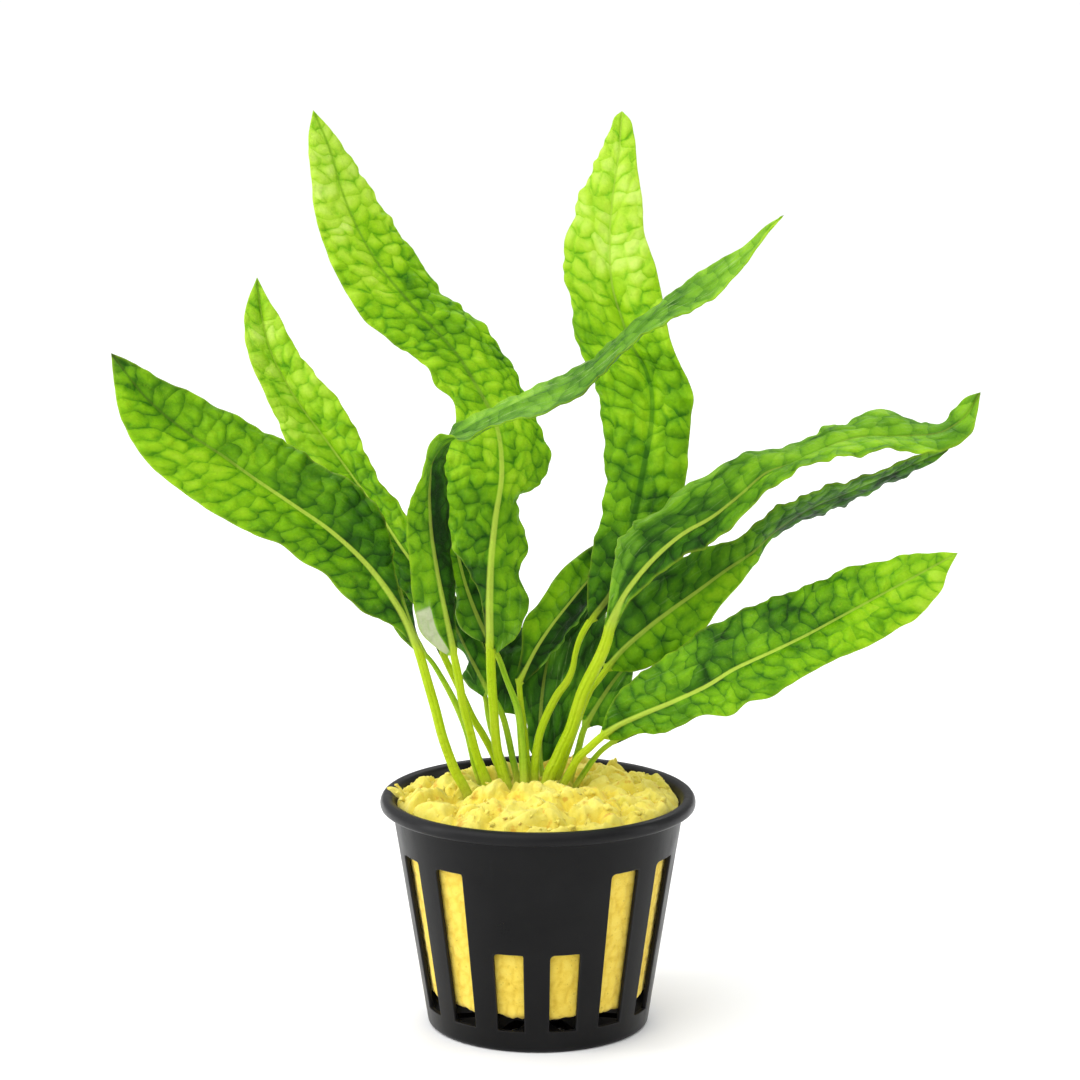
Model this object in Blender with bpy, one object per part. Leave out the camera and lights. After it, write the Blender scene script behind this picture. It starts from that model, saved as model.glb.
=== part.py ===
"""Potted cryptocoryne: a rosette of long, puckered leaves in a black slotted net pot.

Metres, +Z up. The origin is the centre of the pot's underside, on the surface that it
stands on. The short-slotted panel of the pot faces -Y, the front.

The leaves were measured in the front view of one reference picture, 1080 units wide and
high. A leaf's outline is a row of hand-measured points (u right, v down) in that view, and
each point has a depth in millimetres behind (+) or in front of (-) the pot's axis. The
function place() turns such a point into a place in space.
"""

import math

import bmesh
import bpy
from mathutils import Vector

MM = 0.001

# ---------------------------------------------------------------- front view
VIEW_TILT = 10.68  # degrees that the view looks down
VIEW_FOCAL = 3600.0  # picture units
VIEW_DISTANCE = 619.2  # mm, from the eye to the point looked at
VIEW_AIM = (0.35, 0.0, 85.76)  # mm, the point looked at, at the picture's centre
VIEW_CENTRE = 540.0

# ---------------------------------------------------------------- pot, mm
POT_HEIGHT = 40.95
RIM_RADIUS = 27.5
WALL_TOP_RADIUS = 25.34
WALL_BASE_RADIUS = 19.29
WALL = 0.9
FLOOR = 1.4
SLOTS = 14
SLOT_BOTTOM = 3.9
SLOT_TOP = 32.0
SHORT_SLOT_TOP = 18.1
SLOT_HALF_BOTTOM = 2.52  # mm
SLOT_HALF_TOP = 3.10  # mm
SLOT_CORNER = 0.8
DRAIN_SLOTS = 7
POT_SIDES = 56

# ---------------------------------------------------------------- medium, mm
MEDIUM_BOTTOM = 5.8
MEDIUM_GAP = 0.44  # to the inside of the wall
MEDIUM_TOP = 41.4
MEDIUM_SIDES = 34
SOCKET_GAP = 0.38
STALK_DEPTH = 7.5  # how far the stalks go into the medium

# ---------------------------------------------------------------- leaves
# stalk: (u, v, depth, diameter) from the medium up to the blade
# rib:   (u, v, depth) from the blade's base to its tip
# left, right: (u, v) of the two edges from base to tip, with the rib's share of length
#        as a third number where the match matters
# back_left, back_right: (share of length, mm) that the edge lies behind the rib
# bulge: how much each half of the blade is domed, as a share of its width
LEAVES = {
    "leaf_far_left": dict(
        stalk=[(468.5, 796, -4.6, 1.75), (463.5, 786, -4.9, 1.75), (456, 773, -5.2, 1.75), (449.5, 757, -5.7, 1.7),
               (443.5, 740, -6.2, 1.7), (434.5, 706, -7.2, 1.7), (427, 680, -8.0, 1.65),
               (421, 659, -8.7, 1.6), (417.5, 648, -9.0, 1.55)],
        rib=[(417.5, 648, -9.0), (399, 610, -10.2), (370, 569, -11.3), (331, 532, -12.2),
             (291, 504, -13.0), (253, 478, -13.6), (221, 455, -14.2), (189, 434, -14.8),
             (149, 401, -15.6), (111, 353, -16.5)],
        left=[(413, 648), (402, 633), (391, 625), (366, 614), (342, 593.5), (324, 574),
              (302, 562), (279, 544), (262, 538), (226, 520.5), (194, 500), (159, 474),
              (142, 456), (124, 427), (116, 398), (111, 353)],
        right=[(422, 649), (411, 626), (402, 600), (396, 575), (393, 548), (388, 527),
               (368, 495), (349, 480), (320, 464), (295, 447), (253, 425), (224, 410),
               (207, 400), (188, 391.5), (145, 369.5), (128, 360), (111, 353)],
        back_left=[(0, 0), (0.25, -3.0), (0.6, -4.0), (1, 0)],
        back_right=[(0, 0), (0.2, 1.5), (0.45, 3.5), (0.75, 3.0), (1, 0)],
        bulge=0.10),
    "leaf_mid_left": dict(
        stalk=[(503, 778, 4.6, 1.4), (497.5, 764, 4.4, 1.35), (489.7, 747, 4.2, 1.3), (482, 733, 4.0, 1.3),
               (474, 720, 3.8, 1.25), (464.5, 700, 3.8, 1.25), (455.5, 680, 3.8, 1.25), (449, 667, 3.9, 1.2),
               (443.5, 655, 4.0, 1.2)],
        rib=[(443.5, 655, 4.0), (436, 625, 4.4), (428.5, 598, 4.8), (419, 572, 5.4), (398, 540, 6.2),
             (375, 505.5, 7.2), (332, 447, 9.0), (289, 387, 11.0), (270, 349, 12.2),
             (261, 311, 13.5), (257, 277, 15.0)],
        left=[(440, 656), (430, 636), (416, 608), (396, 582), (368, 548), (340, 510), (315, 475),
              (290, 447), (278, 424), (268.5, 402), (252, 366), (244, 327), (246, 307), (257, 277)],
        right=[(448, 653), (449, 630), (445, 600), (433, 566), (418, 536), (404, 511), (381, 481),
               (373, 468), (366, 452), (360, 437), (354, 425), (346, 411), (337, 398), (315, 373), (298, 351), (282, 321), (269, 300),
               (257, 277)],
        back_left=[(0, 0), (0.4, 2.0), (0.8, -1.0), (1, 0)],
        back_right=[(0, 0), (0.3, -3.0), (0.7, -3.5), (1, 0)],
        bulge=0.10),
    "leaf_tall_left": dict(
        stalk=[(507, 788, -1.9, 2.1), (499.5, 762, -1.7, 1.8), (493, 702, -1.3, 1.65),
               (491, 671, -1.0, 1.65), (490.5, 645, -0.8, 1.6)],
        rib=[(490.5, 645, -0.8), (490, 600, 0.0), (491, 562, 0.8), (495, 520, 2.0),
             (501.5, 471, 3.6), (497, 429, 5.6), (474, 383, 8.6), (458, 357, 10.2),
             (416.5, 311, 13.0), (375, 260, 15.5), (355, 224, 17.0), (341, 189, 18.4),
             (329.5, 149, 19.8), (313, 110, 21.2)],
        left=[(485.5, 646), (483, 612), (477, 588), (464, 566), (444, 528), (436, 502),
              (436, 480), (441, 457), (456, 424), (450, 397), (436, 387), (428, 369),
              (411, 355.5), (394, 345), (379, 332.5), (365, 321), (349, 298), (335.5, 274), (324, 246),
              (314, 209), (311, 175), (308, 139), (313, 110)],
        right=[(496, 654), (506, 646), (515, 639), (524, 618), (528.6, 602), (520, 574), (526.5, 549),
               (526, 536), (520, 514), (516, 501), (534, 489), (545.5, 478), (550, 464), (543, 433), (523, 387),
               (510.5, 364), (496, 341), (473, 315.5), (450, 299), (422.5, 267), (407.5, 243.5),
               (379, 201), (365, 179), (347, 151), (329.5, 128), (313, 110)],
        back_left=[(0, 0), (0.2, 1.5), (0.45, -2.0), (0.8, -3.0), (1, 0)],
        back_right=[(0, 0), (0.15, 2.5), (0.4, 3.0), (0.75, 3.5), (1, 0)],
        bulge=0.10),
    "leaf_crossing": dict(
        stalk=[(489, 788, -1.9, 2.0), (483, 773, -2.3, 1.8), (478, 760, -2.6, 1.6), (470.5, 733, -3.2, 1.5),
               (462.5, 702, -4.0, 1.5), (458.5, 678, -4.6, 1.45), (453, 651, -5.4, 1.25)],
        rib=[(453, 651, -5.4), (446, 618, -6.4), (436, 569, -8.2), (430.6, 534, -9.8),
             (428.5, 506, -11.2), (428.5, 480, -12.6), (431, 461, -13.6), (440, 447, -14.4),
             (470, 430, -15.4), (520, 404, -16.4), (570, 385, -17.2), (612, 353, -18.0),
             (662, 311, -18.9), (714, 281, -19.7), (750, 252, -20.3), (784, 215, -21.0)],
        left=[(449, 656, 0), (437, 648.5, 0.02), (424, 637, 0.04), (415, 614, 0.08), (410, 570, 0.14), (406.5, 520, 0.22),
              (408, 506, 0.245), (416, 489, 0.275), (421, 475, 0.30), (425.5, 460, 0.325), (428.5, 449, 0.337),
              (432, 439.5, 0.347), (438, 433.5, 0.357), (446, 434, 0.368), (459, 441, 0.40), (495, 425), (541, 414), (583, 392.5), (606, 369), (633.5, 342),
              (669, 321), (714, 298), (738, 273), (758.5, 245), (768.5, 230), (784, 215, 1)],
        right=[(457.5, 648, 0), (455, 618), (454, 583), (450, 540, 0.19), (447, 490, 0.27),
               (445, 456, 0.325), (449, 444, 0.345), (450, 434, 0.358), (452, 426, 0.372), (470, 416.5), (496.5, 404), (548, 380), (587.6, 361),
               (621, 332), (662, 300), (702, 270), (722, 258), (745, 245), (766, 225.5), (784, 215, 1)],
        back_left=[(0, 0), (0.12, -2.0), (0.25, -3.0), (0.36, -5.0), (0.7, -5.0), (1, 0)],
        back_right=[(0, 0), (0.12, 4.0), (0.25, 5.5), (0.36, 5.5), (0.7, 5.0), (1, 0)],
        bulge=0.08),
    "leaf_tall_right": dict(
        stalk=[(534, 787, -0.3, 1.55), (535.3, 760, 0.2, 1.5), (537, 747, 0.5, 1.45), (540, 733, 0.8, 1.4),
               (544.7, 720, 1.2, 1.4), (550.7, 707, 1.6, 1.4), (558.5, 693, 2.0, 1.4), (567, 681.5, 2.5, 1.3),
               (572.5, 669, 2.9, 1.1), (575.3, 654, 3.3, 1.0), (579.5, 640, 3.8, 1.1), (586, 627, 4.2, 1.15),
               (592, 618, 4.6, 1.15)],
        rib=[(592, 618, 4.6), (612, 592, 5.8), (628, 545, 8.0), (636, 510, 9.8),
             (644, 468, 12.0), (652, 422, 14.4), (652, 392, 16.0), (645, 367, 17.4),
             (631, 343, 18.8), (623, 321, 20.0), (613, 288, 21.8), (610, 248, 24.0),
             (614, 189, 27.2), (619, 155, 29.2), (622, 111, 31.6)],
        left=[(588, 620), (587, 590), (590, 562), (595, 540), (605, 486), (603.5, 451),
              (601, 415), (592, 375), (576, 341), (570, 298), (563, 262), (567, 237), (573, 219), (577, 203),
              (586.5, 180), (596.5, 162), (603, 145), (611, 128), (614.5, 117), (622, 111)],
        right=[(597, 621), (630, 590), (655, 556), (674, 520), (685, 486), (689, 450),
               (691.5, 416), (693.5, 397), (681, 365), (673, 346), (661, 288), (654, 260), (646, 238),
               (642, 197), (638, 169), (634, 133.5), (630.5, 120), (622, 111)],
        back_left=[(0, 0), (0.3, 3.0), (0.6, 2.0), (0.85, 3.0), (1, 0)],
        back_right=[(0, 0), (0.25, -1.5), (0.6, -3.5), (0.85, -2.0), (1, 0)],
        bulge=0.10),
    "leaf_short_centre": dict(
        stalk=[(529.5, 781, 1.2, 1.0), (527, 755, 1.9, 1.0), (524, 725, 2.7, 1.0), (520.5, 700, 3.7, 1.0),
               (519, 682, 4.6, 1.0)],
        rib=[(519, 682, 4.6), (534, 651, 6.4), (551, 625, 8.4), (571, 600, 10.6),
             (587, 581, 12.4), (608, 558, 15.0), (628, 530, 18.0)],
        left=[(515, 680), (521, 652), (524.5, 619), (539, 603), (557, 574.5), (571, 561),
              (593, 546), (612, 536), (628, 530)],
        right=[(523, 684), (539, 669), (555, 652), (572, 628), (590, 605), (612, 578),
               (624, 552), (628, 530)],
        back_left=[(0, 0), (0.5, -1.5), (1, 0)],
        back_right=[(0, 0), (0.5, 2.5), (1, 0)],
        bulge=0.12),
    "leaf_wrapped_right": dict(
        stalk=[(546.5, 788, -1.6, 2.4), (550.5, 773, -1.9, 2.4), (557, 760, -2.2, 2.3), (562.5, 747, -2.5, 2.2),
               (569.5, 733, -2.9, 2.2), (578, 707, -3.7, 2.2), (582.5, 693, -4.1, 2.15), (588.5, 680, -4.4, 2.15),
               (595.3, 667, -4.7, 2.15), (602, 653, -5.1, 2.1), (606.7, 640, -5.5, 2.0), (609.5, 629, -5.8, 1.9)],
        rib=[(609.5, 629, -5.8), (617, 613, -6.4), (628, 594, -7.0), (647, 569, -7.9),
             (686, 534, -9.4), (714, 518, -10.4), (742, 496, -11.2), (768, 474, -12.0),
             (795, 464, -12.6), (826, 449, -13.2), (854, 439, -13.7), (900, 437, -14.2),
             (945, 431, -14.4), (966, 416, -14.2), (980.7, 392, -13.6)],
        left=[(604, 627, 0), (609, 600), (612, 570, 0.12), (614, 552, 0.16), (630, 527, 0.22),
              (655, 511), (683.5, 488), (709, 471), (737, 457.5), (752, 452.5), (766, 449), (791, 447),
              (809, 436.5), (822, 429), (846, 423.5), (868, 413), (900, 414), (917.5, 422), (936, 426),
              (955, 409), (967, 397), (980.7, 392, 1)],
        right=[(614.5, 631, 0), (630, 601), (648, 585), (668, 568), (690, 554), (710, 545.5, 0.33),
               (726, 531.5), (737, 522), (750, 509.5), (764, 496), (778, 483.5), (797, 472), (812, 464), (829, 459.5),
               (866, 455), (886, 450), (902, 449.5), (918, 454), (935, 452.5), (957, 445), (971, 435),
               (977, 415), (980.7, 392, 1)],
        back_left=[(0, 0), (0.12, 3.0), (0.3, 5.5), (0.6, 6.0), (0.85, 4.5), (1, 0)],
        back_right=[(0, 0), (0.1, -1.5), (0.3, -4.0), (0.6, -6.0), (0.85, -4.0), (1, 0)],
        bulge=0.12),
    "leaf_folded_right": dict(
        stalk=[(557, 780, 2.4, 1.2), (566, 755, 1.9, 1.2), (576, 727, 1.3, 1.15),
               (586, 700, 0.7, 1.1), (591.5, 688.5, 0.4, 1.1), (598.3, 680, 0.3, 1.1), (608, 667, 0.1, 1.1)],
        rib=[(608, 667, 0.1), (618, 655, 0.0), (647, 629, -0.4), (672, 610, -0.8),
             (700, 590, -1.2), (728, 569, -1.6), (752, 552, -2.0), (775, 531, -2.4),
             (811, 508, -3.0), (848, 492, -3.5), (878, 479, -4.0), (915, 463, -4.5),
             (949, 449.5, -5.0)],
        left=[(603, 664, 0), (611, 636), (626, 606), (652, 578), (684, 556, 0.27), (712, 545, 0.35),
              (743.5, 535, 0.45), (759, 520, 0.5), (775, 507), (799, 498), (826.5, 485), (848, 481),
              (874, 472), (900, 462.5), (915.5, 455), (949, 449.5, 1)],
        right=[(612, 671, 0), (636, 671.5), (671, 655.5), (699, 635), (726, 600), (738, 586.5),
               (757.5, 561, 0.47), (771, 538, 0.53), (783, 530), (811, 518), (846, 504),
               (878, 488), (913.5, 472), (935, 460.5), (949, 449.5, 1)],
        back_left=[(0, 0), (0.3, 3.0), (0.5, -3.5), (0.65, -5.5), (0.85, -3.5), (1, 0)],
        back_right=[(0, 0), (0.3, -2.5), (0.5, 2.0), (0.65, 5.0), (0.85, 4.0), (1, 0)],
        bulge=0.06),
    "leaf_low_right": dict(
        stalk=[(561.7, 787, -1.9, 1.45), (566.5, 778, -2.3, 1.45), (571.5, 769, -2.8, 1.4), (579, 757, -3.8, 1.4),
               (590, 747, -4.8, 1.4), (597.5, 740, -5.4, 1.35), (605, 734, -6.2, 1.3)],
        rib=[(605, 734, -6.2), (615, 727, -7.2), (643, 714, -9.6), (678, 700, -12.0),
             (706, 687, -13.8), (734, 670, -15.4), (776, 650.5, -17.4), (800, 639, -18.6),
             (850, 612, -20.6), (905, 582, -22.8), (958, 553, -24.6)],
        left=[(601, 730), (611, 703), (631, 680), (647, 668.5), (676, 650), (699, 631.5),
              (739.5, 611.5), (760, 602), (779, 595), (811, 584), (838, 571.5), (856, 565), (882, 560),
              (919.5, 553), (943, 552), (958, 553)],
        right=[(609, 740), (623.5, 740), (633, 735), (656, 734), (684, 725), (699, 716.5),
               (735, 714), (745.5, 703.5), (772, 697.5), (785, 688), (800, 679.5), (828, 663.5), (860, 649.5),
               (884, 638.5), (899, 628.5), (913.5, 620.5), (935, 599), (943.5, 586), (948.5, 571), (958, 553)],
        back_left=[(0, 0), (0.4, 4.5), (0.8, 3.0), (1, 0)],
        back_right=[(0, 0), (0.4, -4.0), (0.8, -3.0), (1, 0)],
        bulge=0.10),
    "leaf_shaded_left": dict(
        stalk=[(524.0, 786, -2.0, 1.5), (523, 760, -0.8, 1.45), (521.5, 740, 0.3, 1.4), (519.7, 720, 1.2, 1.3),
               (516.5, 705, 1.9, 1.2), (512, 693, 2.4, 1.1), (506.7, 680, 3.0, 1.0), (499.5, 660, 3.8, 1.0),
               (490, 641, 4.6, 0.95)],
        rib=[(490, 641, 4.6), (480, 622, 5.4), (473.5, 606.5, 6.0), (465, 582, 7.2),
             (461, 567, 7.9), (454, 535, 9.6), (450, 500, 11.4), (449, 470, 13.0)],
        left=[(486, 644), (464, 632), (456, 612), (455, 592), (448, 570), (437, 545),
              (432, 515), (438, 490), (449, 470)],
        right=[(494, 639), (496, 610), (490, 580), (480, 550), (470, 520), (462, 495),
               (449, 470)],
        back_left=[(0, 0), (0.5, 1.5), (1, 0)],
        back_right=[(0, 0), (0.5, 1.5), (1, 0)],
        bulge=0.10),
    "leaf_behind_left": dict(
        stalk=[(481, 786, 1.0, 1.15), (474, 762, 0.7, 1.15), (467, 732, 0.6, 1.2), (456.7, 706, 1.0, 1.15),
               (443, 680, 1.6, 1.0), (431, 661, 2.3, 0.85), (425, 654, 2.6, 0.8)],
        rib=[(425, 654, 2.6), (412, 627, 5.0), (402, 596, 8.6), (396, 566, 11.4),
             (390, 536, 13.8)],
        left=[(421, 656), (398, 634), (384, 604), (380, 572), (390, 536)],
        right=[(427.5, 653.5), (417, 636), (412, 600), (406, 564), (390, 536)],
        back_left=[(0, 0), (0.5, -1.0), (1, 0)],
        back_right=[(0, 0), (0.5, 2.0), (1, 0)],
        bulge=0.10),
    "leaf_inner_left": dict(
        stalk=[(517, 777, 4.2, 1.2), (513, 760, 4.6, 1.2), (507.3, 733, 5.0, 1.15),
               (503, 717, 5.4, 1.1), (498, 705, 5.8, 1.0), (488, 691, 6.6, 0.9)],
        rib=[(488, 691, 6.6), (476, 668, 8.2), (462, 640, 10.8), (448, 608, 13.6),
             (439, 575, 16.4)],
        left=[(484, 697.5), (473.7, 690.5), (466.3, 685), (462.8, 676), (467, 669), (470.5, 663), (467, 655.5),
              (458.5, 649), (448, 622), (438, 600), (439, 575)],
        right=[(492, 688), (490, 662), (478, 634), (462, 604), (439, 575)],
        back_left=[(0, 0), (0.5, 1.0), (1, 0)],
        back_right=[(0, 0), (0.5, 1.0), (1, 0)],
        bulge=0.10),
    "leaf_inner_back": dict(
        stalk=[(509, 777, 6.4, 1.0), (500, 753, 6.7, 1.0), (491.5, 731, 7.2, 1.0),
               (487.7, 713, 8.4, 1.0), (485, 697, 9.4, 0.9), (480, 686, 9.9, 0.85)],
        rib=[(480, 686, 9.9), (476, 664, 12.0), (470, 630, 15.2), (464, 595, 18.6)],
        left=[(476, 686), (468, 662), (458, 630), (464, 595)],
        right=[(484, 685), (488, 660), (482, 626), (464, 595)],
        back_left=[(0, 0), (0.5, 1.5), (1, 0)],
        back_right=[(0, 0), (0.5, -0.5), (1, 0)],
        bulge=0.10),
    "leaf_inner_centre": dict(
        stalk=[(543, 779, 2.7, 0.95), (541.5, 770, 3.2, 0.95), (540, 762, 3.7, 0.95)],
        rib=[(540, 762, 3.7), (540, 738, 5.6), (541, 708, 8.0), (545, 674, 10.8),
             (553, 642, 13.8), (568, 612, 16.8), (588, 586, 19.4)],
        left=[(536.5, 761, 0), (530, 751, 0.05), (527, 737, 0.12), (525, 721, 0.21),
              (514, 714.5, 0.26), (503, 712.5, 0.30), (495, 704, 0.35), (492, 682, 0.45), (494, 657, 0.57),
              (506, 639, 0.69), (526, 625, 0.80), (550, 604, 0.91), (588, 586, 1)],
        right=[(543.5, 762, 0), (552, 758, 0.05), (562, 747, 0.11), (571, 733, 0.18), (581, 714, 0.27),
               (591, 690, 0.38), (600, 665, 0.50), (606, 640, 0.64), (606, 612, 0.80), (588, 586, 1)],
        back_left=[(0, 0), (0.3, 0.8), (0.6, 0.5), (1, 0)],
        back_right=[(0, 0), (0.15, 0.8), (0.5, 2.2), (1, 0)],
        bulge=0.10),
    "leaf_inner_right": dict(
        stalk=[(570.5, 779, 3.0, 1.15), (576, 758, 3.6, 1.2), (579.3, 746, 4.0, 1.2), (582.3, 734, 4.4, 1.15),
               (586, 724, 4.8, 1.1)],
        rib=[(586, 724, 4.8), (602, 698, 6.4), (618, 676, 8.4), (638, 656, 10.8),
             (662, 632, 13.8), (684, 612, 16.6)],
        left=[(582, 720), (584, 690), (600, 662), (622, 638), (650, 620), (684, 612)],
        right=[(590, 727.5), (598, 725.5), (606, 728), (616, 716), (627, 698), (632, 681), (635, 664), (654, 644), (684, 612)],
        back_left=[(0, 0), (0.5, 1.5), (1, 0)],
        back_right=[(0, 0), (0.5, -1.5), (1, 0)],
        bulge=0.10),
    "leaf_under_right": dict(
        stalk=[(575.5, 786, -0.6, 1.05), (584, 773, -0.9, 1.0), (593, 760, -1.3, 1.0), (602, 750, -1.8, 0.95),
               (614, 741, -2.4, 0.95)],
        rib=[(614, 741, -2.4), (640, 724, -3.6), (672, 708, -5.0), (706, 694, -6.4),
             (738, 676, -7.6)],
        left=[(611, 737), (628, 706), (664, 690), (704, 678), (738, 676)],
        right=[(616, 744), (645, 731), (675, 718), (708, 706), (738, 676)],
        back_left=[(0, 0), (0.5, 3.5), (1, 0)],
        back_right=[(0, 0), (0.5, -1.0), (1, 0)],
        bulge=0.10),
}

LEAF_COLOURS = {
    "bright": (0.30, 0.58, 0.03, 1.0),
    "shade": (0.05, 0.16, 0.01, 1.0),
}
SHADED = {"leaf_shaded_left", "leaf_behind_left", "leaf_inner_left", "leaf_inner_back",
          "leaf_inner_centre", "leaf_inner_right", "leaf_under_right"}

STALK_STEPS = 5
BLADE_STEPS = {"long": 15, "short": 8}
BLADE_HALF_THICK = 0.20  # mm
RIB_TIP = 0.5  # mm, the rib's diameter at the leaf's tip
LEAF_TIP_SHARE = 0.985


# ================================================================ helpers
def place(u, v, depth):
    """The point of the front view (u, v) that lies depth mm behind the pot's axis, in mm."""
    a = math.radians(VIEW_TILT)
    ahead = Vector((0, math.cos(a), -math.sin(a)))
    up = Vector((0, math.sin(a), math.cos(a)))
    right = Vector((1, 0, 0))
    eye = Vector(VIEW_AIM) - ahead * VIEW_DISTANCE
    ray = ahead * VIEW_FOCAL + right * (u - VIEW_CENTRE) - up * (v - VIEW_CENTRE)
    return eye + ray * ((depth - eye.y) / ray.y)


def toward_eye(point):
    a = math.radians(VIEW_TILT)
    ahead = Vector((0, math.cos(a), -math.sin(a)))
    return (Vector(VIEW_AIM) - ahead * VIEW_DISTANCE - point).normalized()


def shares(points):
    """The share of the length at each point. A point's own third number, if it has one, holds."""
    run = [0.0]
    for a, b in zip(points, points[1:]):
        run.append(run[-1] + math.hypot(b[0] - a[0], b[1] - a[1]))
    known = [(0, 0.0)]
    for i, p in enumerate(points[1:-1], 1):
        if len(p) > 2:
            known.append((i, p[2]))
    known.append((len(points) - 1, 1.0))
    out = [0.0] * len(points)
    for (i, s), (j, e) in zip(known, known[1:]):
        for k in range(i, j + 1):
            out[k] = s + (e - s) * (run[k] - run[i]) / (run[j] - run[i])
    return out


def smooth(ts, rows, t):
    """A curve through rows at ts, with slopes from the neighbours."""
    n = len(ts)
    if t <= ts[0]:
        return list(rows[0])
    if t >= ts[-1]:
        return list(rows[-1])
    i = max(k for k in range(n - 1) if ts[k] <= t)
    h = ts[i + 1] - ts[i]

    def slope(k):
        if k == 0:
            return [(b - a) / (ts[1] - ts[0]) for a, b in zip(rows[0], rows[1])]
        if k == n - 1:
            return [(b - a) / (ts[-1] - ts[-2]) for a, b in zip(rows[-2], rows[-1])]
        h0, h1 = ts[k] - ts[k - 1], ts[k + 1] - ts[k]
        return [
            ((b - a) / h0 * h1 + (c - b) / h1 * h0) / (h0 + h1)
            for a, b, c in zip(rows[k - 1], rows[k], rows[k + 1])
        ]

    m0, m1 = slope(i), slope(i + 1)
    x = (t - ts[i]) / h
    return [
        a * (2 * x**3 - 3 * x * x + 1) + p * h * (x**3 - 2 * x * x + x)
        + b * (3 * x * x - 2 * x**3) + q * h * (x**3 - x * x)
        for a, b, p, q in zip(rows[i], rows[i + 1], m0, m1)
    ]


def leaf_curves(leaf):
    """Functions of the share t that give the rib and the two edges in space, in mm."""
    rib_t = shares([p[:2] for p in leaf["rib"]])

    def rib(t):
        return place(*smooth(rib_t, leaf["rib"], t))

    def edge(side):
        ts = shares(leaf[side])
        flat = [p[:2] for p in leaf[side]]
        back = leaf["back_" + side]
        bt = [b[0] for b in back]
        bv = [[b[1]] for b in back]

        def at(t):
            u, v = smooth(ts, flat, t)
            depth = smooth(rib_t, leaf["rib"], t)[2] + smooth(bt, bv, t)[0]
            return place(u, v, depth)

        return at

    return rib, edge("left"), edge("right")


def ring(left, left_mid, rib, right_mid, right, n_left, n_rib, n_right, thick, rib_r):
    """The eight points of one section of a blade."""
    return [
        left,
        left_mid + n_left * thick,
        rib + n_rib * rib_r,
        right_mid + n_right * thick,
        right,
        right_mid - n_right * thick,
        rib - n_rib * rib_r,
        left_mid - n_left * thick,
    ]


def stalk_rings(leaf):
    """Sections of the stalk from its end in the medium up to the blade, and the radius there."""
    pts = leaf["stalk"]
    ts = shares([p[:2] for p in pts])
    base = place(*pts[0][:3])
    radius = pts[0][3] / 2
    lean = (place(*pts[1][:3]) - base).normalized()
    out = []
    for drop in (STALK_DEPTH, STALK_DEPTH * 0.5):
        sink = base - Vector((lean.x * 0.25, lean.y * 0.25, 1.0)) * drop
        out.append((sink, radius))
    for k in range(STALK_STEPS):
        t = k / STALK_STEPS
        u, v, depth, wide = smooth(ts, pts, t)
        out.append((place(u, v, depth), wide / 2))
    return out


def rings_of(name, leaf):
    rows = []
    tube = stalk_rings(leaf)
    rib, left, right = leaf_curves(leaf)
    middles = [p for p, _ in tube] + [rib(0.0)]
    for k, (point, radius) in enumerate(tube):
        along = (middles[k + 1] - middles[max(k - 1, 0)]).normalized()
        eye = toward_eye(point)
        up = (eye - along * eye.dot(along)).normalized()
        side = along.cross(up)
        turn = [(-1, 0), (-0.7, 0.7), (0, 1), (0.7, 0.7), (1, 0), (0.7, -0.7), (0, -1), (-0.7, -0.7)]
        rows.append([point + side * (radius * x) + up * (radius * y) for x, y in turn])
    long_leaf = len(leaf["rib"]) > 8
    steps = BLADE_STEPS["long" if long_leaf else "short"]
    start = leaf["stalk"][-1][3] / 2
    for k in range(steps + 1):
        x = k / steps
        t = LEAF_TIP_SHARE * (0.62 * x + 0.38 * (1 - math.cos(math.pi * x)) / 2)
        m, l, r = rib(t), left(t), right(t)
        along = (rib(min(t + 0.02, 1.0)) - rib(max(t - 0.02, 0.0))).normalized()
        n_left = (m - l).cross(along).normalized()
        n_right = (r - m).cross(along).normalized()
        n_rib = (n_left + n_right).normalized()
        dome = leaf["bulge"]
        lm = (l + m) / 2 + n_left * ((m - l).length * dome)
        rm = (r + m) / 2 + n_right * ((r - m).length * dome)
        wide = start + (RIB_TIP / 2 - start) * min(1.0, 1.15 * t) ** 0.6
        half = min((m - l).length, (r - m).length)
        thick = min(BLADE_HALF_THICK + 0.5 * start * max(0.0, 1 - t * 14), start * 0.7)
        rows.append(ring(l, lm, m, rm, r, n_left, n_rib, n_right, thick, min(wide, max(0.12, half))))
    return rows, rib(1.0)


def mesh_object(name, points, faces):
    mesh = bpy.data.meshes.new(name)
    mesh.from_pydata([Vector(p) * MM for p in points], [], faces)
    mesh.update()
    work = bmesh.new()
    work.from_mesh(mesh)
    bmesh.ops.recalc_face_normals(work, faces=work.faces)
    bmesh.ops.triangulate(work, faces=work.faces)
    work.to_mesh(mesh)
    work.free()
    mesh.shade_smooth()
    mesh.set_sharp_from_angle(angle=math.radians(40))
    ob = bpy.data.objects.new(name, mesh)
    bpy.context.scene.collection.objects.link(ob)
    return ob


def material(name, colour, roughness, metallic=0.0):
    mat = bpy.data.materials.new(name)
    mat.use_nodes = True
    shader = mat.node_tree.nodes["Principled BSDF"]
    shader.inputs["Base Color"].default_value = colour
    shader.inputs["Roughness"].default_value = roughness
    shader.inputs["Metallic"].default_value = metallic
    return mat


def tube_faces(rings, count, first=0):
    faces = []
    for k in range(rings - 1):
        a, b = first + k * count, first + (k + 1) * count
        for i in range(count):
            j = (i + 1) % count
            faces.append((a + i, a + j, b + j, b + i))
    return faces


def cut(ob, cutter):
    cutter.hide_render = True
    cutter.display_type = "WIRE"
    mod = ob.modifiers.new("cut_" + cutter.name, "BOOLEAN")
    mod.operation = "DIFFERENCE"
    mod.solver = "EXACT"
    mod.object = cutter


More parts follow.
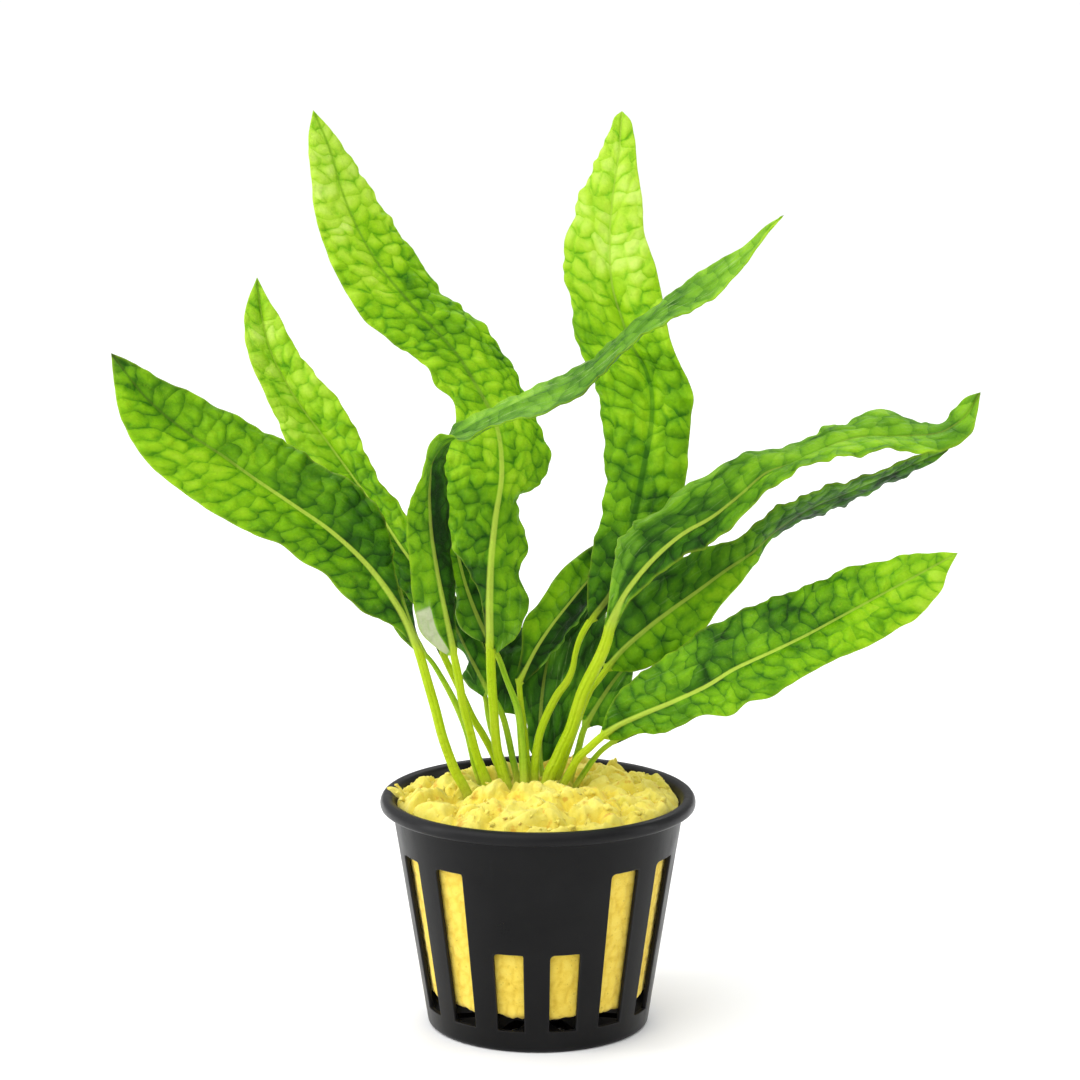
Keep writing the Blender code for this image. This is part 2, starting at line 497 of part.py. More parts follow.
# ================================================================ pot
def wall_radius(z):
    return WALL_BASE_RADIUS + (WALL_TOP_RADIUS - WALL_BASE_RADIUS) * z / (POT_HEIGHT - 2.6)


def pot_profile():
    """Radius and height of the pot's half section, from the middle of the underside outwards."""
    top = POT_HEIGHT
    return [
        (WALL_BASE_RADIUS - 0.6, 0.0),
        (WALL_BASE_RADIUS - 0.1, 0.2),
        (wall_radius(0.8), 0.8),
        (wall_radius(SLOT_BOTTOM - 0.8), SLOT_BOTTOM - 0.8),
        (wall_radius(SLOT_TOP + 1.4), SLOT_TOP + 1.4),
        (WALL_TOP_RADIUS, top - 2.7),
        (WALL_TOP_RADIUS + 0.35, top - 2.45),
        (RIM_RADIUS - 0.5, top - 2.3),
        (RIM_RADIUS - 0.1, top - 2.0),
        (RIM_RADIUS, top - 1.4),
        (RIM_RADIUS - 0.2, top - 0.6),
        (RIM_RADIUS - 0.65, top - 0.12),
        (RIM_RADIUS - 1.2, top),
        (RIM_RADIUS - 1.9, top - 0.2),
        (RIM_RADIUS - 2.35, top - 0.9),
        (WALL_TOP_RADIUS - WALL + 0.05, top - 2.4),
        (wall_radius(FLOOR) - WALL, FLOOR),
    ]


def make_pot():
    profile = pot_profile()
    points, faces = [], []
    n = POT_SIDES
    for r, z in profile:
        for i in range(n):
            a = 2 * math.pi * (i + 0.5) / n
            points.append((r * math.sin(a), -r * math.cos(a), z))
    faces = tube_faces(len(profile), n)
    faces.append(tuple(range(n - 1, -1, -1)))
    last = (len(profile) - 1) * n
    faces.append(tuple(range(last, last + n)))
    pot = mesh_object("pot", points, faces)
    pot.data.materials.append(material("black_plastic", (0.012, 0.012, 0.013, 1), 0.42))

    # upright slots; the two at the front are short, under the plain panel
    points, faces = [], []
    for k in range(SLOTS):
        a = 2 * math.pi * (k + 0.5) / SLOTS
        short = k in (0, SLOTS - 1)
        top = SHORT_SLOT_TOP if short else SLOT_TOP
        outline = slot_outline(top)
        out = Vector((math.sin(a), -math.cos(a), 0))
        side = Vector((math.cos(a), math.sin(a), 0))
        first = len(points)
        for depth in (14.5, 30.0):
            for s, z in outline:
                points.append(out * depth + side * s + Vector((0, 0, z)))
        m = len(outline)
        faces += tube_faces(2, m, first)
        faces.append(tuple(range(first + m - 1, first - 1, -1)))
        faces.append(tuple(range(first + m, first + 2 * m)))
    cutter = mesh_object("slot_cutter", points, faces)
    cut(pot, cutter)

    # drain slots in the floor
    points, faces = [], []
    for k in range(DRAIN_SLOTS):
        a = 2 * math.pi * (k + 0.5) / DRAIN_SLOTS
        out = Vector((math.sin(a), -math.cos(a), 0))
        side = Vector((math.cos(a), math.sin(a), 0))
        first = len(points)
        for z in (-1.0, 3.0):
            for d, s in ((6.6, -1.1), (7.2, -1.3), (14.6, -1.3), (15.4, -0.8),
                         (15.4, 0.8), (14.6, 1.3), (7.2, 1.3), (6.6, 1.1)):
                points.append(out * d + side * s + Vector((0, 0, z)))
        faces += tube_faces(2, 8, first)
        faces.append(tuple(range(first + 7, first - 1, -1)))
        faces.append(tuple(range(first + 8, first + 16)))
    cutter = mesh_object("drain_cutter", points, faces)
    cut(pot, cutter)
    return pot


def slot_outline(top):
    grow = (SLOT_HALF_TOP - SLOT_HALF_BOTTOM) / (SLOT_TOP - SLOT_BOTTOM)
    half = SLOT_HALF_BOTTOM + grow * (top - SLOT_BOTTOM)
    c = SLOT_CORNER
    right = [(SLOT_HALF_BOTTOM - 0.35, SLOT_BOTTOM), (SLOT_HALF_BOTTOM, SLOT_BOTTOM + 0.35)]
    for k in range(3):
        a = math.radians(45 * k)
        right.append((half - c + c * math.cos(a), top - c + c * math.sin(a)))
    return right + [(-s, z) for s, z in reversed(right)]


# ================================================================ medium
def lump(x, y):
    """The uneven top of the medium, in mm above its mean height."""
    return (
        0.75 * math.sin(0.42 * x + 1.1) * math.cos(0.36 * y - 0.4)
        + 0.55 * math.sin(0.71 * x - 0.9 * y + 2.0)
        + 0.35 * math.cos(1.15 * x + 0.8 * y)
    )


def medium_top(x, y):
    r = math.hypot(x, y)
    heap = 1.3 * max(0.0, 1 - (r / 20.0) ** 2)
    edge = max(0.0, (r - 19.5) / 4.5)
    hollow = 1.8 * math.exp(-((x + 13) ** 2 + (y - 19) ** 2) / 40.0)
    return MEDIUM_TOP + heap - 1.5 * edge**2 - hollow + 0.9 * lump(x, y) * (1 - 0.5 * edge)


def make_medium():
    n = MEDIUM_SIDES
    points, faces = [], []
    inner = lambda z: wall_radius(z) - WALL - MEDIUM_GAP
    rings = 0
    # underside
    centre = len(points)
    points.append((0, 0, MEDIUM_BOTTOM))
    for r, z in ((inner(MEDIUM_BOTTOM) - 1.2, MEDIUM_BOTTOM), (inner(MEDIUM_BOTTOM) - 0.2, MEDIUM_BOTTOM + 0.7),
                 (inner(22.0), 22.0), (inner(38.2), 38.2)):
        for i in range(n):
            a = 2 * math.pi * i / n
            points.append((r * math.sin(a), -r * math.cos(a), z))
        rings += 1
    for r in (22.9, 18.8, 14.4, 9.5, 5.0):
        for i in range(n):
            a = 2 * math.pi * i / n
            x, y = r * math.sin(a), -r * math.cos(a)
            points.append((x, y, medium_top(x, y)))
        rings += 1
    faces = tube_faces(rings, n, 1)
    for i in range(n):
        faces.append((centre, 1 + (i + 1) % n, 1 + i))
    tip = len(points)
    points.append((0, 0, medium_top(0, 0)))
    last = 1 + (rings - 1) * n
    for i in range(n):
        faces.append((tip, last + i, last + (i + 1) % n))
    medium = mesh_object("growing_medium", points, faces)
    medium.data.materials.append(material("pale_wool", (0.80, 0.68, 0.20, 1), 0.95))

    # a socket round each stalk
    for name, leaf in LEAVES.items():
        tube = stalk_rings(leaf)
        path = [tube[0][0] - Vector((0, 0, SOCKET_GAP + 0.1)), tube[1][0], tube[2][0], tube[3][0]]
        path.append(tube[3][0] + (tube[3][0] - tube[2][0]).normalized() * 2.0)
        radius = (tube[0][1] + SOCKET_GAP) / math.cos(math.pi / 8)
        points, faces = [], []
        for k, p in enumerate(path):
            along = (path[min(k + 1, len(path) - 1)] - path[max(k - 1, 0)]).normalized()
            side = along.cross(Vector((0, 1, 0))).normalized()
            up = side.cross(along)
            for i in range(8):
                a = 2 * math.pi * (i + 0.5) / 8
                points.append(p + side * (radius * math.cos(a)) + up * (radius * math.sin(a)))
        faces = tube_faces(len(path), 8)
        faces.append(tuple(range(7, -1, -1)))
        last = (len(path) - 1) * 8
        faces.append(tuple(range(last, last + 8)))
        cutter = mesh_object("socket_" + name, points, faces)
        cut(medium, cutter)
    return medium


# ================================================================ leaves
def make_leaf(name, leaf):
    rows, tip = rings_of(name, leaf)
    points = [p for row in rows for p in row]
    faces = tube_faces(len(rows), 8)
    faces.append(tuple(range(7, -1, -1)))
    last = (len(rows) - 1) * 8
    points.append(tip)
    for i in range(8):
        faces.append((last + i, last + (i + 1) % 8, len(points) - 1))
    ob = mesh_object(name, points, faces)
    tone = "shade" if name in SHADED else "bright"
    ob.data.materials.append(material(name + "_green", LEAF_COLOURS[tone], 0.45))
    return ob


def main():
    for ob in list(bpy.data.objects):
        bpy.data.objects.remove(ob, do_unlink=True)
    make_pot()
    for name, leaf in LEAVES.items():
        make_leaf(name, leaf)
    make_medium()


main()
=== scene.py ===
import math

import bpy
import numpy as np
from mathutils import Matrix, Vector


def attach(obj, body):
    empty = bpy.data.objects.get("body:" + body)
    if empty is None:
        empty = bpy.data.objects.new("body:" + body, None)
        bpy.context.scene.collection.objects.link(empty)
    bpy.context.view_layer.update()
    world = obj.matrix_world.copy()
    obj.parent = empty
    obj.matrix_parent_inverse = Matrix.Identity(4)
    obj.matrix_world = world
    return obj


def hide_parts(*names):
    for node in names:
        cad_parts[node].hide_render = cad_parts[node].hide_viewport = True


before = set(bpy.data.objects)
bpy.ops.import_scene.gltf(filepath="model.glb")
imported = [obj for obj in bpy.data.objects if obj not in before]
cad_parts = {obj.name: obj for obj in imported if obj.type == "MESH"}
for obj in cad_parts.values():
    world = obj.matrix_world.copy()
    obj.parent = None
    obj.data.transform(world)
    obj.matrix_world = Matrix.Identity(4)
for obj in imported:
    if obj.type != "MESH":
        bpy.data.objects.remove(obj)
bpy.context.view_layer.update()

# Looks of the potted cryptocoryne: fine leaves with puckered blades, the crumbly planting
# wool and the slotted pot, each in the place of its plain solid. Metres, +Z up, -Y front.
# The leaves' table and the functions that read it are those of the construction.

MM = 0.001

# ---------------------------------------------------------------- front view
VIEW_TILT = 10.68  # degrees that the view looks down
VIEW_FOCAL = 3600.0  # picture units
VIEW_DISTANCE = 619.2  # mm, from the eye to the point looked at
VIEW_AIM = (0.35, 0.0, 85.76)  # mm, the point looked at, at the picture's centre
VIEW_CENTRE = 540.0

# ---------------------------------------------------------------- pot, mm
POT_HEIGHT = 40.95
RIM_RADIUS = 27.5
WALL_TOP_RADIUS = 25.34
WALL_BASE_RADIUS = 19.29
WALL = 0.9
FLOOR = 1.4
SLOTS = 14
SLOT_BOTTOM = 3.9
SLOT_TOP = 32.0
SHORT_SLOT_TOP = 18.1
SLOT_HALF_BOTTOM = 2.52
SLOT_HALF_TOP = 3.10
SLOT_CORNER = 0.8
DRAIN_SLOTS = 7

# ---------------------------------------------------------------- medium, mm
MEDIUM_BOTTOM = 5.8
MEDIUM_GAP = 0.44
MEDIUM_TOP = 41.4
STALK_DEPTH = 7.5

# ---------------------------------------------------------------- leaves
# stalk: (u, v, depth, diameter) from the medium up to the blade
# rib:   (u, v, depth) from the blade's base to its tip
# left, right: (u, v) of the two edges from base to tip, with the rib's share of length
#        as a third number where the match matters
# back_left, back_right: (share of length, mm) that the edge lies behind the rib
# bulge: how much each half of the blade is domed, as a share of its width
LEAVES = {
    "leaf_far_left": dict(
        stalk=[(468.5, 796, -4.6, 1.75), (463.5, 786, -4.9, 1.75), (456, 773, -5.2, 1.75), (449.5, 757, -5.7, 1.7),
               (443.5, 740, -6.2, 1.7), (434.5, 706, -7.2, 1.7), (427, 680, -8.0, 1.65),
               (421, 659, -8.7, 1.6), (417.5, 648, -9.0, 1.55)],
        rib=[(417.5, 648, -9.0), (399, 610, -10.2), (370, 569, -11.3), (331, 532, -12.2),
             (291, 504, -13.0), (253, 478, -13.6), (221, 455, -14.2), (189, 434, -14.8),
             (149, 401, -15.6), (111, 353, -16.5)],
        left=[(413, 648), (402, 633), (391, 625), (366, 614), (342, 593.5), (324, 574),
              (302, 562), (279, 544), (262, 538), (226, 520.5), (194, 500), (159, 474),
              (142, 456), (124, 427), (116, 398), (111, 353)],
        right=[(422, 649), (411, 626), (402, 600), (396, 575), (393, 548), (388, 527),
               (368, 495), (349, 480), (320, 464), (295, 447), (253, 425), (224, 410),
               (207, 400), (188, 391.5), (145, 369.5), (128, 360), (111, 353)],
        back_left=[(0, 0), (0.25, -3.0), (0.6, -4.0), (1, 0)],
        back_right=[(0, 0), (0.2, 1.5), (0.45, 3.5), (0.75, 3.0), (1, 0)],
        bulge=0.10),
    "leaf_mid_left": dict(
        stalk=[(503, 778, 4.6, 1.4), (497.5, 764, 4.4, 1.35), (489.7, 747, 4.2, 1.3), (482, 733, 4.0, 1.3),
               (474, 720, 3.8, 1.25), (464.5, 700, 3.8, 1.25), (455.5, 680, 3.8, 1.25), (449, 667, 3.9, 1.2),
               (443.5, 655, 4.0, 1.2)],
        rib=[(443.5, 655, 4.0), (436, 625, 4.4), (428.5, 598, 4.8), (419, 572, 5.4), (398, 540, 6.2),
             (375, 505.5, 7.2), (332, 447, 9.0), (289, 387, 11.0), (270, 349, 12.2),
             (261, 311, 13.5), (257, 277, 15.0)],
        left=[(440, 656), (430, 636), (416, 608), (396, 582), (368, 548), (340, 510), (315, 475),
              (290, 447), (278, 424), (268.5, 402), (252, 366), (244, 327), (246, 307), (257, 277)],
        right=[(448, 653), (449, 630), (445, 600), (433, 566), (418, 536), (404, 511), (381, 481),
               (373, 468), (366, 452), (360, 437), (354, 425), (346, 411), (337, 398), (315, 373), (298, 351), (282, 321), (269, 300),
               (257, 277)],
        back_left=[(0, 0), (0.4, 2.0), (0.8, -1.0), (1, 0)],
        back_right=[(0, 0), (0.3, -3.0), (0.7, -3.5), (1, 0)],
        bulge=0.10),
    "leaf_tall_left": dict(
        stalk=[(507, 788, -1.9, 2.1), (499.5, 762, -1.7, 1.8), (493, 702, -1.3, 1.65),
               (491, 671, -1.0, 1.65), (490.5, 645, -0.8, 1.6)],
        rib=[(490.5, 645, -0.8), (490, 600, 0.0), (491, 562, 0.8), (495, 520, 2.0),
             (501.5, 471, 3.6), (497, 429, 5.6), (474, 383, 8.6), (458, 357, 10.2),
             (416.5, 311, 13.0), (375, 260, 15.5), (355, 224, 17.0), (341, 189, 18.4),
             (329.5, 149, 19.8), (313, 110, 21.2)],
        left=[(485.5, 646), (483, 612), (477, 588), (464, 566), (444, 528), (436, 502),
              (436, 480), (441, 457), (456, 424), (450, 397), (436, 387), (428, 369),
              (411, 355.5), (394, 345), (379, 332.5), (365, 321), (349, 298), (335.5, 274), (324, 246),
              (314, 209), (311, 175), (308, 139), (313, 110)],
        right=[(496, 654), (506, 646), (515, 639), (524, 618), (528.6, 602), (520, 574), (526.5, 549),
               (526, 536), (520, 514), (516, 501), (534, 489), (545.5, 478), (550, 464), (543, 433), (523, 387),
               (510.5, 364), (496, 341), (473, 315.5), (450, 299), (422.5, 267), (407.5, 243.5),
               (379, 201), (365, 179), (347, 151), (329.5, 128), (313, 110)],
        back_left=[(0, 0), (0.2, 1.5), (0.45, -2.0), (0.8, -3.0), (1, 0)],
        back_right=[(0, 0), (0.15, 2.5), (0.4, 3.0), (0.75, 3.5), (1, 0)],
        bulge=0.10),
    "leaf_crossing": dict(
        stalk=[(489, 788, -1.9, 2.0), (483, 773, -2.3, 1.8), (478, 760, -2.6, 1.6), (470.5, 733, -3.2, 1.5),
               (462.5, 702, -4.0, 1.5), (458.5, 678, -4.6, 1.45), (453, 651, -5.4, 1.25)],
        rib=[(453, 651, -5.4), (446, 618, -6.4), (436, 569, -8.2), (430.6, 534, -9.8),
             (428.5, 506, -11.2), (428.5, 480, -12.6), (431, 461, -13.6), (440, 447, -14.4),
             (470, 430, -15.4), (520, 404, -16.4), (570, 385, -17.2), (612, 353, -18.0),
             (662, 311, -18.9), (714, 281, -19.7), (750, 252, -20.3), (784, 215, -21.0)],
        left=[(449, 656, 0), (437, 648.5, 0.02), (424, 637, 0.04), (415, 614, 0.08), (410, 570, 0.14), (406.5, 520, 0.22),
              (408, 506, 0.245), (416, 489, 0.275), (421, 475, 0.30), (425.5, 460, 0.325), (428.5, 449, 0.337),
              (432, 439.5, 0.347), (438, 433.5, 0.357), (446, 434, 0.368), (459, 441, 0.40), (495, 425), (541, 414), (583, 392.5), (606, 369), (633.5, 342),
              (669, 321), (714, 298), (738, 273), (758.5, 245), (768.5, 230), (784, 215, 1)],
        right=[(457.5, 648, 0), (455, 618), (454, 583), (450, 540, 0.19), (447, 490, 0.27),
               (445, 456, 0.325), (449, 444, 0.345), (450, 434, 0.358), (452, 426, 0.372), (470, 416.5), (496.5, 404), (548, 380), (587.6, 361),
               (621, 332), (662, 300), (702, 270), (722, 258), (745, 245), (766, 225.5), (784, 215, 1)],
        back_left=[(0, 0), (0.12, -2.0), (0.25, -3.0), (0.36, -5.0), (0.7, -5.0), (1, 0)],
        back_right=[(0, 0), (0.12, 4.0), (0.25, 5.5), (0.36, 5.5), (0.7, 5.0), (1, 0)],
        bulge=0.08),
    "leaf_tall_right": dict(
        stalk=[(534, 787, -0.3, 1.55), (535.3, 760, 0.2, 1.5), (537, 747, 0.5, 1.45), (540, 733, 0.8, 1.4),
               (544.7, 720, 1.2, 1.4), (550.7, 707, 1.6, 1.4), (558.5, 693, 2.0, 1.4), (567, 681.5, 2.5, 1.3),
               (572.5, 669, 2.9, 1.1), (575.3, 654, 3.3, 1.0), (579.5, 640, 3.8, 1.1), (586, 627, 4.2, 1.15),
               (592, 618, 4.6, 1.15)],
        rib=[(592, 618, 4.6), (612, 592, 5.8), (628, 545, 8.0), (636, 510, 9.8),
             (644, 468, 12.0), (652, 422, 14.4), (652, 392, 16.0), (645, 367, 17.4),
             (631, 343, 18.8), (623, 321, 20.0), (613, 288, 21.8), (610, 248, 24.0),
             (614, 189, 27.2), (619, 155, 29.2), (622, 111, 31.6)],
        left=[(588, 620), (587, 590), (590, 562), (595, 540), (605, 486), (603.5, 451),
              (601, 415), (592, 375), (576, 341), (570, 298), (563, 262), (567, 237), (573, 219), (577, 203),
              (586.5, 180), (596.5, 162), (603, 145), (611, 128), (614.5, 117), (622, 111)],
        right=[(597, 621), (630, 590), (655, 556), (674, 520), (685, 486), (689, 450),
               (691.5, 416), (693.5, 397), (681, 365), (673, 346), (661, 288), (654, 260), (646, 238),
               (642, 197), (638, 169), (634, 133.5), (630.5, 120), (622, 111)],
        back_left=[(0, 0), (0.3, 3.0), (0.6, 2.0), (0.85, 3.0), (1, 0)],
        back_right=[(0, 0), (0.25, -1.5), (0.6, -3.5), (0.85, -2.0), (1, 0)],
        bulge=0.10),
    "leaf_short_centre": dict(
        stalk=[(529.5, 781, 1.2, 1.0), (527, 755, 1.9, 1.0), (524, 725, 2.7, 1.0), (520.5, 700, 3.7, 1.0),
               (519, 682, 4.6, 1.0)],
        rib=[(519, 682, 4.6), (534, 651, 6.4), (551, 625, 8.4), (571, 600, 10.6),
             (587, 581, 12.4), (608, 558, 15.0), (628, 530, 18.0)],
        left=[(515, 680), (521, 652), (524.5, 619), (539, 603), (557, 574.5), (571, 561),
              (593, 546), (612, 536), (628, 530)],
        right=[(523, 684), (539, 669), (555, 652), (572, 628), (590, 605), (612, 578),
               (624, 552), (628, 530)],
        back_left=[(0, 0), (0.5, -1.5), (1, 0)],
        back_right=[(0, 0), (0.5, 2.5), (1, 0)],
        bulge=0.12),
    "leaf_wrapped_right": dict(
        stalk=[(546.5, 788, -1.6, 2.4), (550.5, 773, -1.9, 2.4), (557, 760, -2.2, 2.3), (562.5, 747, -2.5, 2.2),
               (569.5, 733, -2.9, 2.2), (578, 707, -3.7, 2.2), (582.5, 693, -4.1, 2.15), (588.5, 680, -4.4, 2.15),
               (595.3, 667, -4.7, 2.15), (602, 653, -5.1, 2.1), (606.7, 640, -5.5, 2.0), (609.5, 629, -5.8, 1.9)],
        rib=[(609.5, 629, -5.8), (617, 613, -6.4), (628, 594, -7.0), (647, 569, -7.9),
             (686, 534, -9.4), (714, 518, -10.4), (742, 496, -11.2), (768, 474, -12.0),
             (795, 464, -12.6), (826, 449, -13.2), (854, 439, -13.7), (900, 437, -14.2),
             (945, 431, -14.4), (966, 416, -14.2), (980.7, 392, -13.6)],
        left=[(604, 627, 0), (609, 600), (612, 570, 0.12), (614, 552, 0.16), (630, 527, 0.22),
              (655, 511), (683.5, 488), (709, 471), (737, 457.5), (752, 452.5), (766, 449), (791, 447),
              (809, 436.5), (822, 429), (846, 423.5), (868, 413), (900, 414), (917.5, 422), (936, 426),
              (955, 409), (967, 397), (980.7, 392, 1)],
        right=[(614.5, 631, 0), (630, 601), (648, 585), (668, 568), (690, 554), (710, 545.5, 0.33),
               (726, 531.5), (737, 522), (750, 509.5), (764, 496), (778, 483.5), (797, 472), (812, 464), (829, 459.5),
               (866, 455), (886, 450), (902, 449.5), (918, 454), (935, 452.5), (957, 445), (971, 435),
               (977, 415), (980.7, 392, 1)],
        back_left=[(0, 0), (0.12, 3.0), (0.3, 5.5), (0.6, 6.0), (0.85, 4.5), (1, 0)],
        back_right=[(0, 0), (0.1, -1.5), (0.3, -4.0), (0.6, -6.0), (0.85, -4.0), (1, 0)],
        bulge=0.12),
    "leaf_folded_right": dict(
        stalk=[(557, 780, 2.4, 1.2), (566, 755, 1.9, 1.2), (576, 727, 1.3, 1.15),
               (586, 700, 0.7, 1.1), (591.5, 688.5, 0.4, 1.1), (598.3, 680, 0.3, 1.1), (608, 667, 0.1, 1.1)],
        rib=[(608, 667, 0.1), (618, 655, 0.0), (647, 629, -0.4), (672, 610, -0.8),
             (700, 590, -1.2), (728, 569, -1.6), (752, 552, -2.0), (775, 531, -2.4),
             (811, 508, -3.0), (848, 492, -3.5), (878, 479, -4.0), (915, 463, -4.5),
             (949, 449.5, -5.0)],
        left=[(603, 664, 0), (611, 636), (626, 606), (652, 578), (684, 556, 0.27), (712, 545, 0.35),
              (743.5, 535, 0.45), (759, 520, 0.5), (775, 507), (799, 498), (826.5, 485), (848, 481),
              (874, 472), (900, 462.5), (915.5, 455), (949, 449.5, 1)],
        right=[(612, 671, 0), (636, 671.5), (671, 655.5), (699, 635), (726, 600), (738, 586.5),
               (757.5, 561, 0.47), (771, 538, 0.53), (783, 530), (811, 518), (846, 504),
               (878, 488), (913.5, 472), (935, 460.5), (949, 449.5, 1)],
        back_left=[(0, 0), (0.3, 3.0), (0.5, -3.5), (0.65, -5.5), (0.85, -3.5), (1, 0)],
        back_right=[(0, 0), (0.3, -2.5), (0.5, 2.0), (0.65, 5.0), (0.85, 4.0), (1, 0)],
        bulge=0.06),
    "leaf_low_right": dict(
        stalk=[(561.7, 787, -1.9, 1.45), (566.5, 778, -2.3, 1.45), (571.5, 769, -2.8, 1.4), (579, 757, -3.8, 1.4),
               (590, 747, -4.8, 1.4), (597.5, 740, -5.4, 1.35), (605, 734, -6.2, 1.3)],
        rib=[(605, 734, -6.2), (615, 727, -7.2), (643, 714, -9.6), (678, 700, -12.0),
             (706, 687, -13.8), (734, 670, -15.4), (776, 650.5, -17.4), (800, 639, -18.6),
             (850, 612, -20.6), (905, 582, -22.8), (958, 553, -24.6)],
        left=[(601, 730), (611, 703), (631, 680), (647, 668.5), (676, 650), (699, 631.5),
              (739.5, 611.5), (760, 602), (779, 595), (811, 584), (838, 571.5), (856, 565), (882, 560),
              (919.5, 553), (943, 552), (958, 553)],
        right=[(609, 740), (623.5, 740), (633, 735), (656, 734), (684, 725), (699, 716.5),
               (735, 714), (745.5, 703.5), (772, 697.5), (785, 688), (800, 679.5), (828, 663.5), (860, 649.5),
               (884, 638.5), (899, 628.5), (913.5, 620.5), (935, 599), (943.5, 586), (948.5, 571), (958, 553)],
        back_left=[(0, 0), (0.4, 4.5), (0.8, 3.0), (1, 0)],
        back_right=[(0, 0), (0.4, -4.0), (0.8, -3.0), (1, 0)],
        bulge=0.10),
    "leaf_shaded_left": dict(
        stalk=[(524.0, 786, -2.0, 1.5), (523, 760, -0.8, 1.45), (521.5, 740, 0.3, 1.4), (519.7, 720, 1.2, 1.3),
               (516.5, 705, 1.9, 1.2), (512, 693, 2.4, 1.1), (506.7, 680, 3.0, 1.0), (499.5, 660, 3.8, 1.0),
               (490, 641, 4.6, 0.95)],
        rib=[(490, 641, 4.6), (480, 622, 5.4), (473.5, 606.5, 6.0), (465, 582, 7.2),
             (461, 567, 7.9), (454, 535, 9.6), (450, 500, 11.4), (449, 470, 13.0)],
        left=[(486, 644), (464, 632), (456, 612), (455, 592), (448, 570), (437, 545),
              (432, 515), (438, 490), (449, 470)],
        right=[(494, 639), (496, 610), (490, 580), (480, 550), (470, 520), (462, 495),
               (449, 470)],
        back_left=[(0, 0), (0.5, 1.5), (1, 0)],
        back_right=[(0, 0), (0.5, 1.5), (1, 0)],
        bulge=0.10),
    "leaf_behind_left": dict(
        stalk=[(481, 786, 1.0, 1.15), (474, 762, 0.7, 1.15), (467, 732, 0.6, 1.2), (456.7, 706, 1.0, 1.15),
               (443, 680, 1.6, 1.0), (431, 661, 2.3, 0.85), (425, 654, 2.6, 0.8)],
        rib=[(425, 654, 2.6), (412, 627, 5.0), (402, 596, 8.6), (396, 566, 11.4),
             (390, 536, 13.8)],
        left=[(421, 656), (398, 634), (384, 604), (380, 572), (390, 536)],
        right=[(427.5, 653.5), (417, 636), (412, 600), (406, 564), (390, 536)],
        back_left=[(0, 0), (0.5, -1.0), (1, 0)],
        back_right=[(0, 0), (0.5, 2.0), (1, 0)],
        bulge=0.10),
    "leaf_inner_left": dict(
        stalk=[(517, 777, 4.2, 1.2), (513, 760, 4.6, 1.2), (507.3, 733, 5.0, 1.15),
               (503, 717, 5.4, 1.1), (498, 705, 5.8, 1.0), (488, 691, 6.6, 0.9)],
        rib=[(488, 691, 6.6), (476, 668, 8.2), (462, 640, 10.8), (448, 608, 13.6),
             (439, 575, 16.4)],
        left=[(484, 697.5), (473.7, 690.5), (466.3, 685), (462.8, 676), (467, 669), (470.5, 663), (467, 655.5),
              (458.5, 649), (448, 622), (438, 600), (439, 575)],
        right=[(492, 688), (490, 662), (478, 634), (462, 604), (439, 575)],
        back_left=[(0, 0), (0.5, 1.0), (1, 0)],
        back_right=[(0, 0), (0.5, 1.0), (1, 0)],
        bulge=0.10),
    "leaf_inner_back": dict(
        stalk=[(509, 777, 6.4, 1.0), (500, 753, 6.7, 1.0), (491.5, 731, 7.2, 1.0),
               (487.7, 713, 8.4, 1.0), (485, 697, 9.4, 0.9), (480, 686, 9.9, 0.85)],
        rib=[(480, 686, 9.9), (476, 664, 12.0), (470, 630, 15.2), (464, 595, 18.6)],
        left=[(476, 686), (468, 662), (458, 630), (464, 595)],
        right=[(484, 685), (488, 660), (482, 626), (464, 595)],
        back_left=[(0, 0), (0.5, 1.5), (1, 0)],
        back_right=[(0, 0), (0.5, -0.5), (1, 0)],
        bulge=0.10),
    "leaf_inner_centre": dict(
        stalk=[(543, 779, 2.7, 0.95), (541.5, 770, 3.2, 0.95), (540, 762, 3.7, 0.95)],
        rib=[(540, 762, 3.7), (540, 738, 5.6), (541, 708, 8.0), (545, 674, 10.8),
             (553, 642, 13.8), (568, 612, 16.8), (588, 586, 19.4)],
        left=[(536.5, 761, 0), (530, 751, 0.05), (527, 737, 0.12), (525, 721, 0.21),
              (514, 714.5, 0.26), (503, 712.5, 0.30), (495, 704, 0.35), (492, 682, 0.45), (494, 657, 0.57),
              (506, 639, 0.69), (526, 625, 0.80), (550, 604, 0.91), (588, 586, 1)],
        right=[(543.5, 762, 0), (552, 758, 0.05), (562, 747, 0.11), (571, 733, 0.18), (581, 714, 0.27),
               (591, 690, 0.38), (600, 665, 0.50), (606, 640, 0.64), (606, 612, 0.80), (588, 586, 1)],
        back_left=[(0, 0), (0.3, 0.8), (0.6, 0.5), (1, 0)],
        back_right=[(0, 0), (0.15, 0.8), (0.5, 2.2), (1, 0)],
        bulge=0.10),
    "leaf_inner_right": dict(
        stalk=[(570.5, 779, 3.0, 1.15), (576, 758, 3.6, 1.2), (579.3, 746, 4.0, 1.2), (582.3, 734, 4.4, 1.15),
               (586, 724, 4.8, 1.1)],
        rib=[(586, 724, 4.8), (602, 698, 6.4), (618, 676, 8.4), (638, 656, 10.8),
             (662, 632, 13.8), (684, 612, 16.6)],
        left=[(582, 720), (584, 690), (600, 662), (622, 638), (650, 620), (684, 612)],
        right=[(590, 727.5), (598, 725.5), (606, 728), (616, 716), (627, 698), (632, 681), (635, 664), (654, 644), (684, 612)],
        back_left=[(0, 0), (0.5, 1.5), (1, 0)],
        back_right=[(0, 0), (0.5, -1.5), (1, 0)],
        bulge=0.10),
    "leaf_under_right": dict(
        stalk=[(575.5, 786, -0.6, 1.05), (584, 773, -0.9, 1.0), (593, 760, -1.3, 1.0), (602, 750, -1.8, 0.95),
               (614, 741, -2.4, 0.95)],
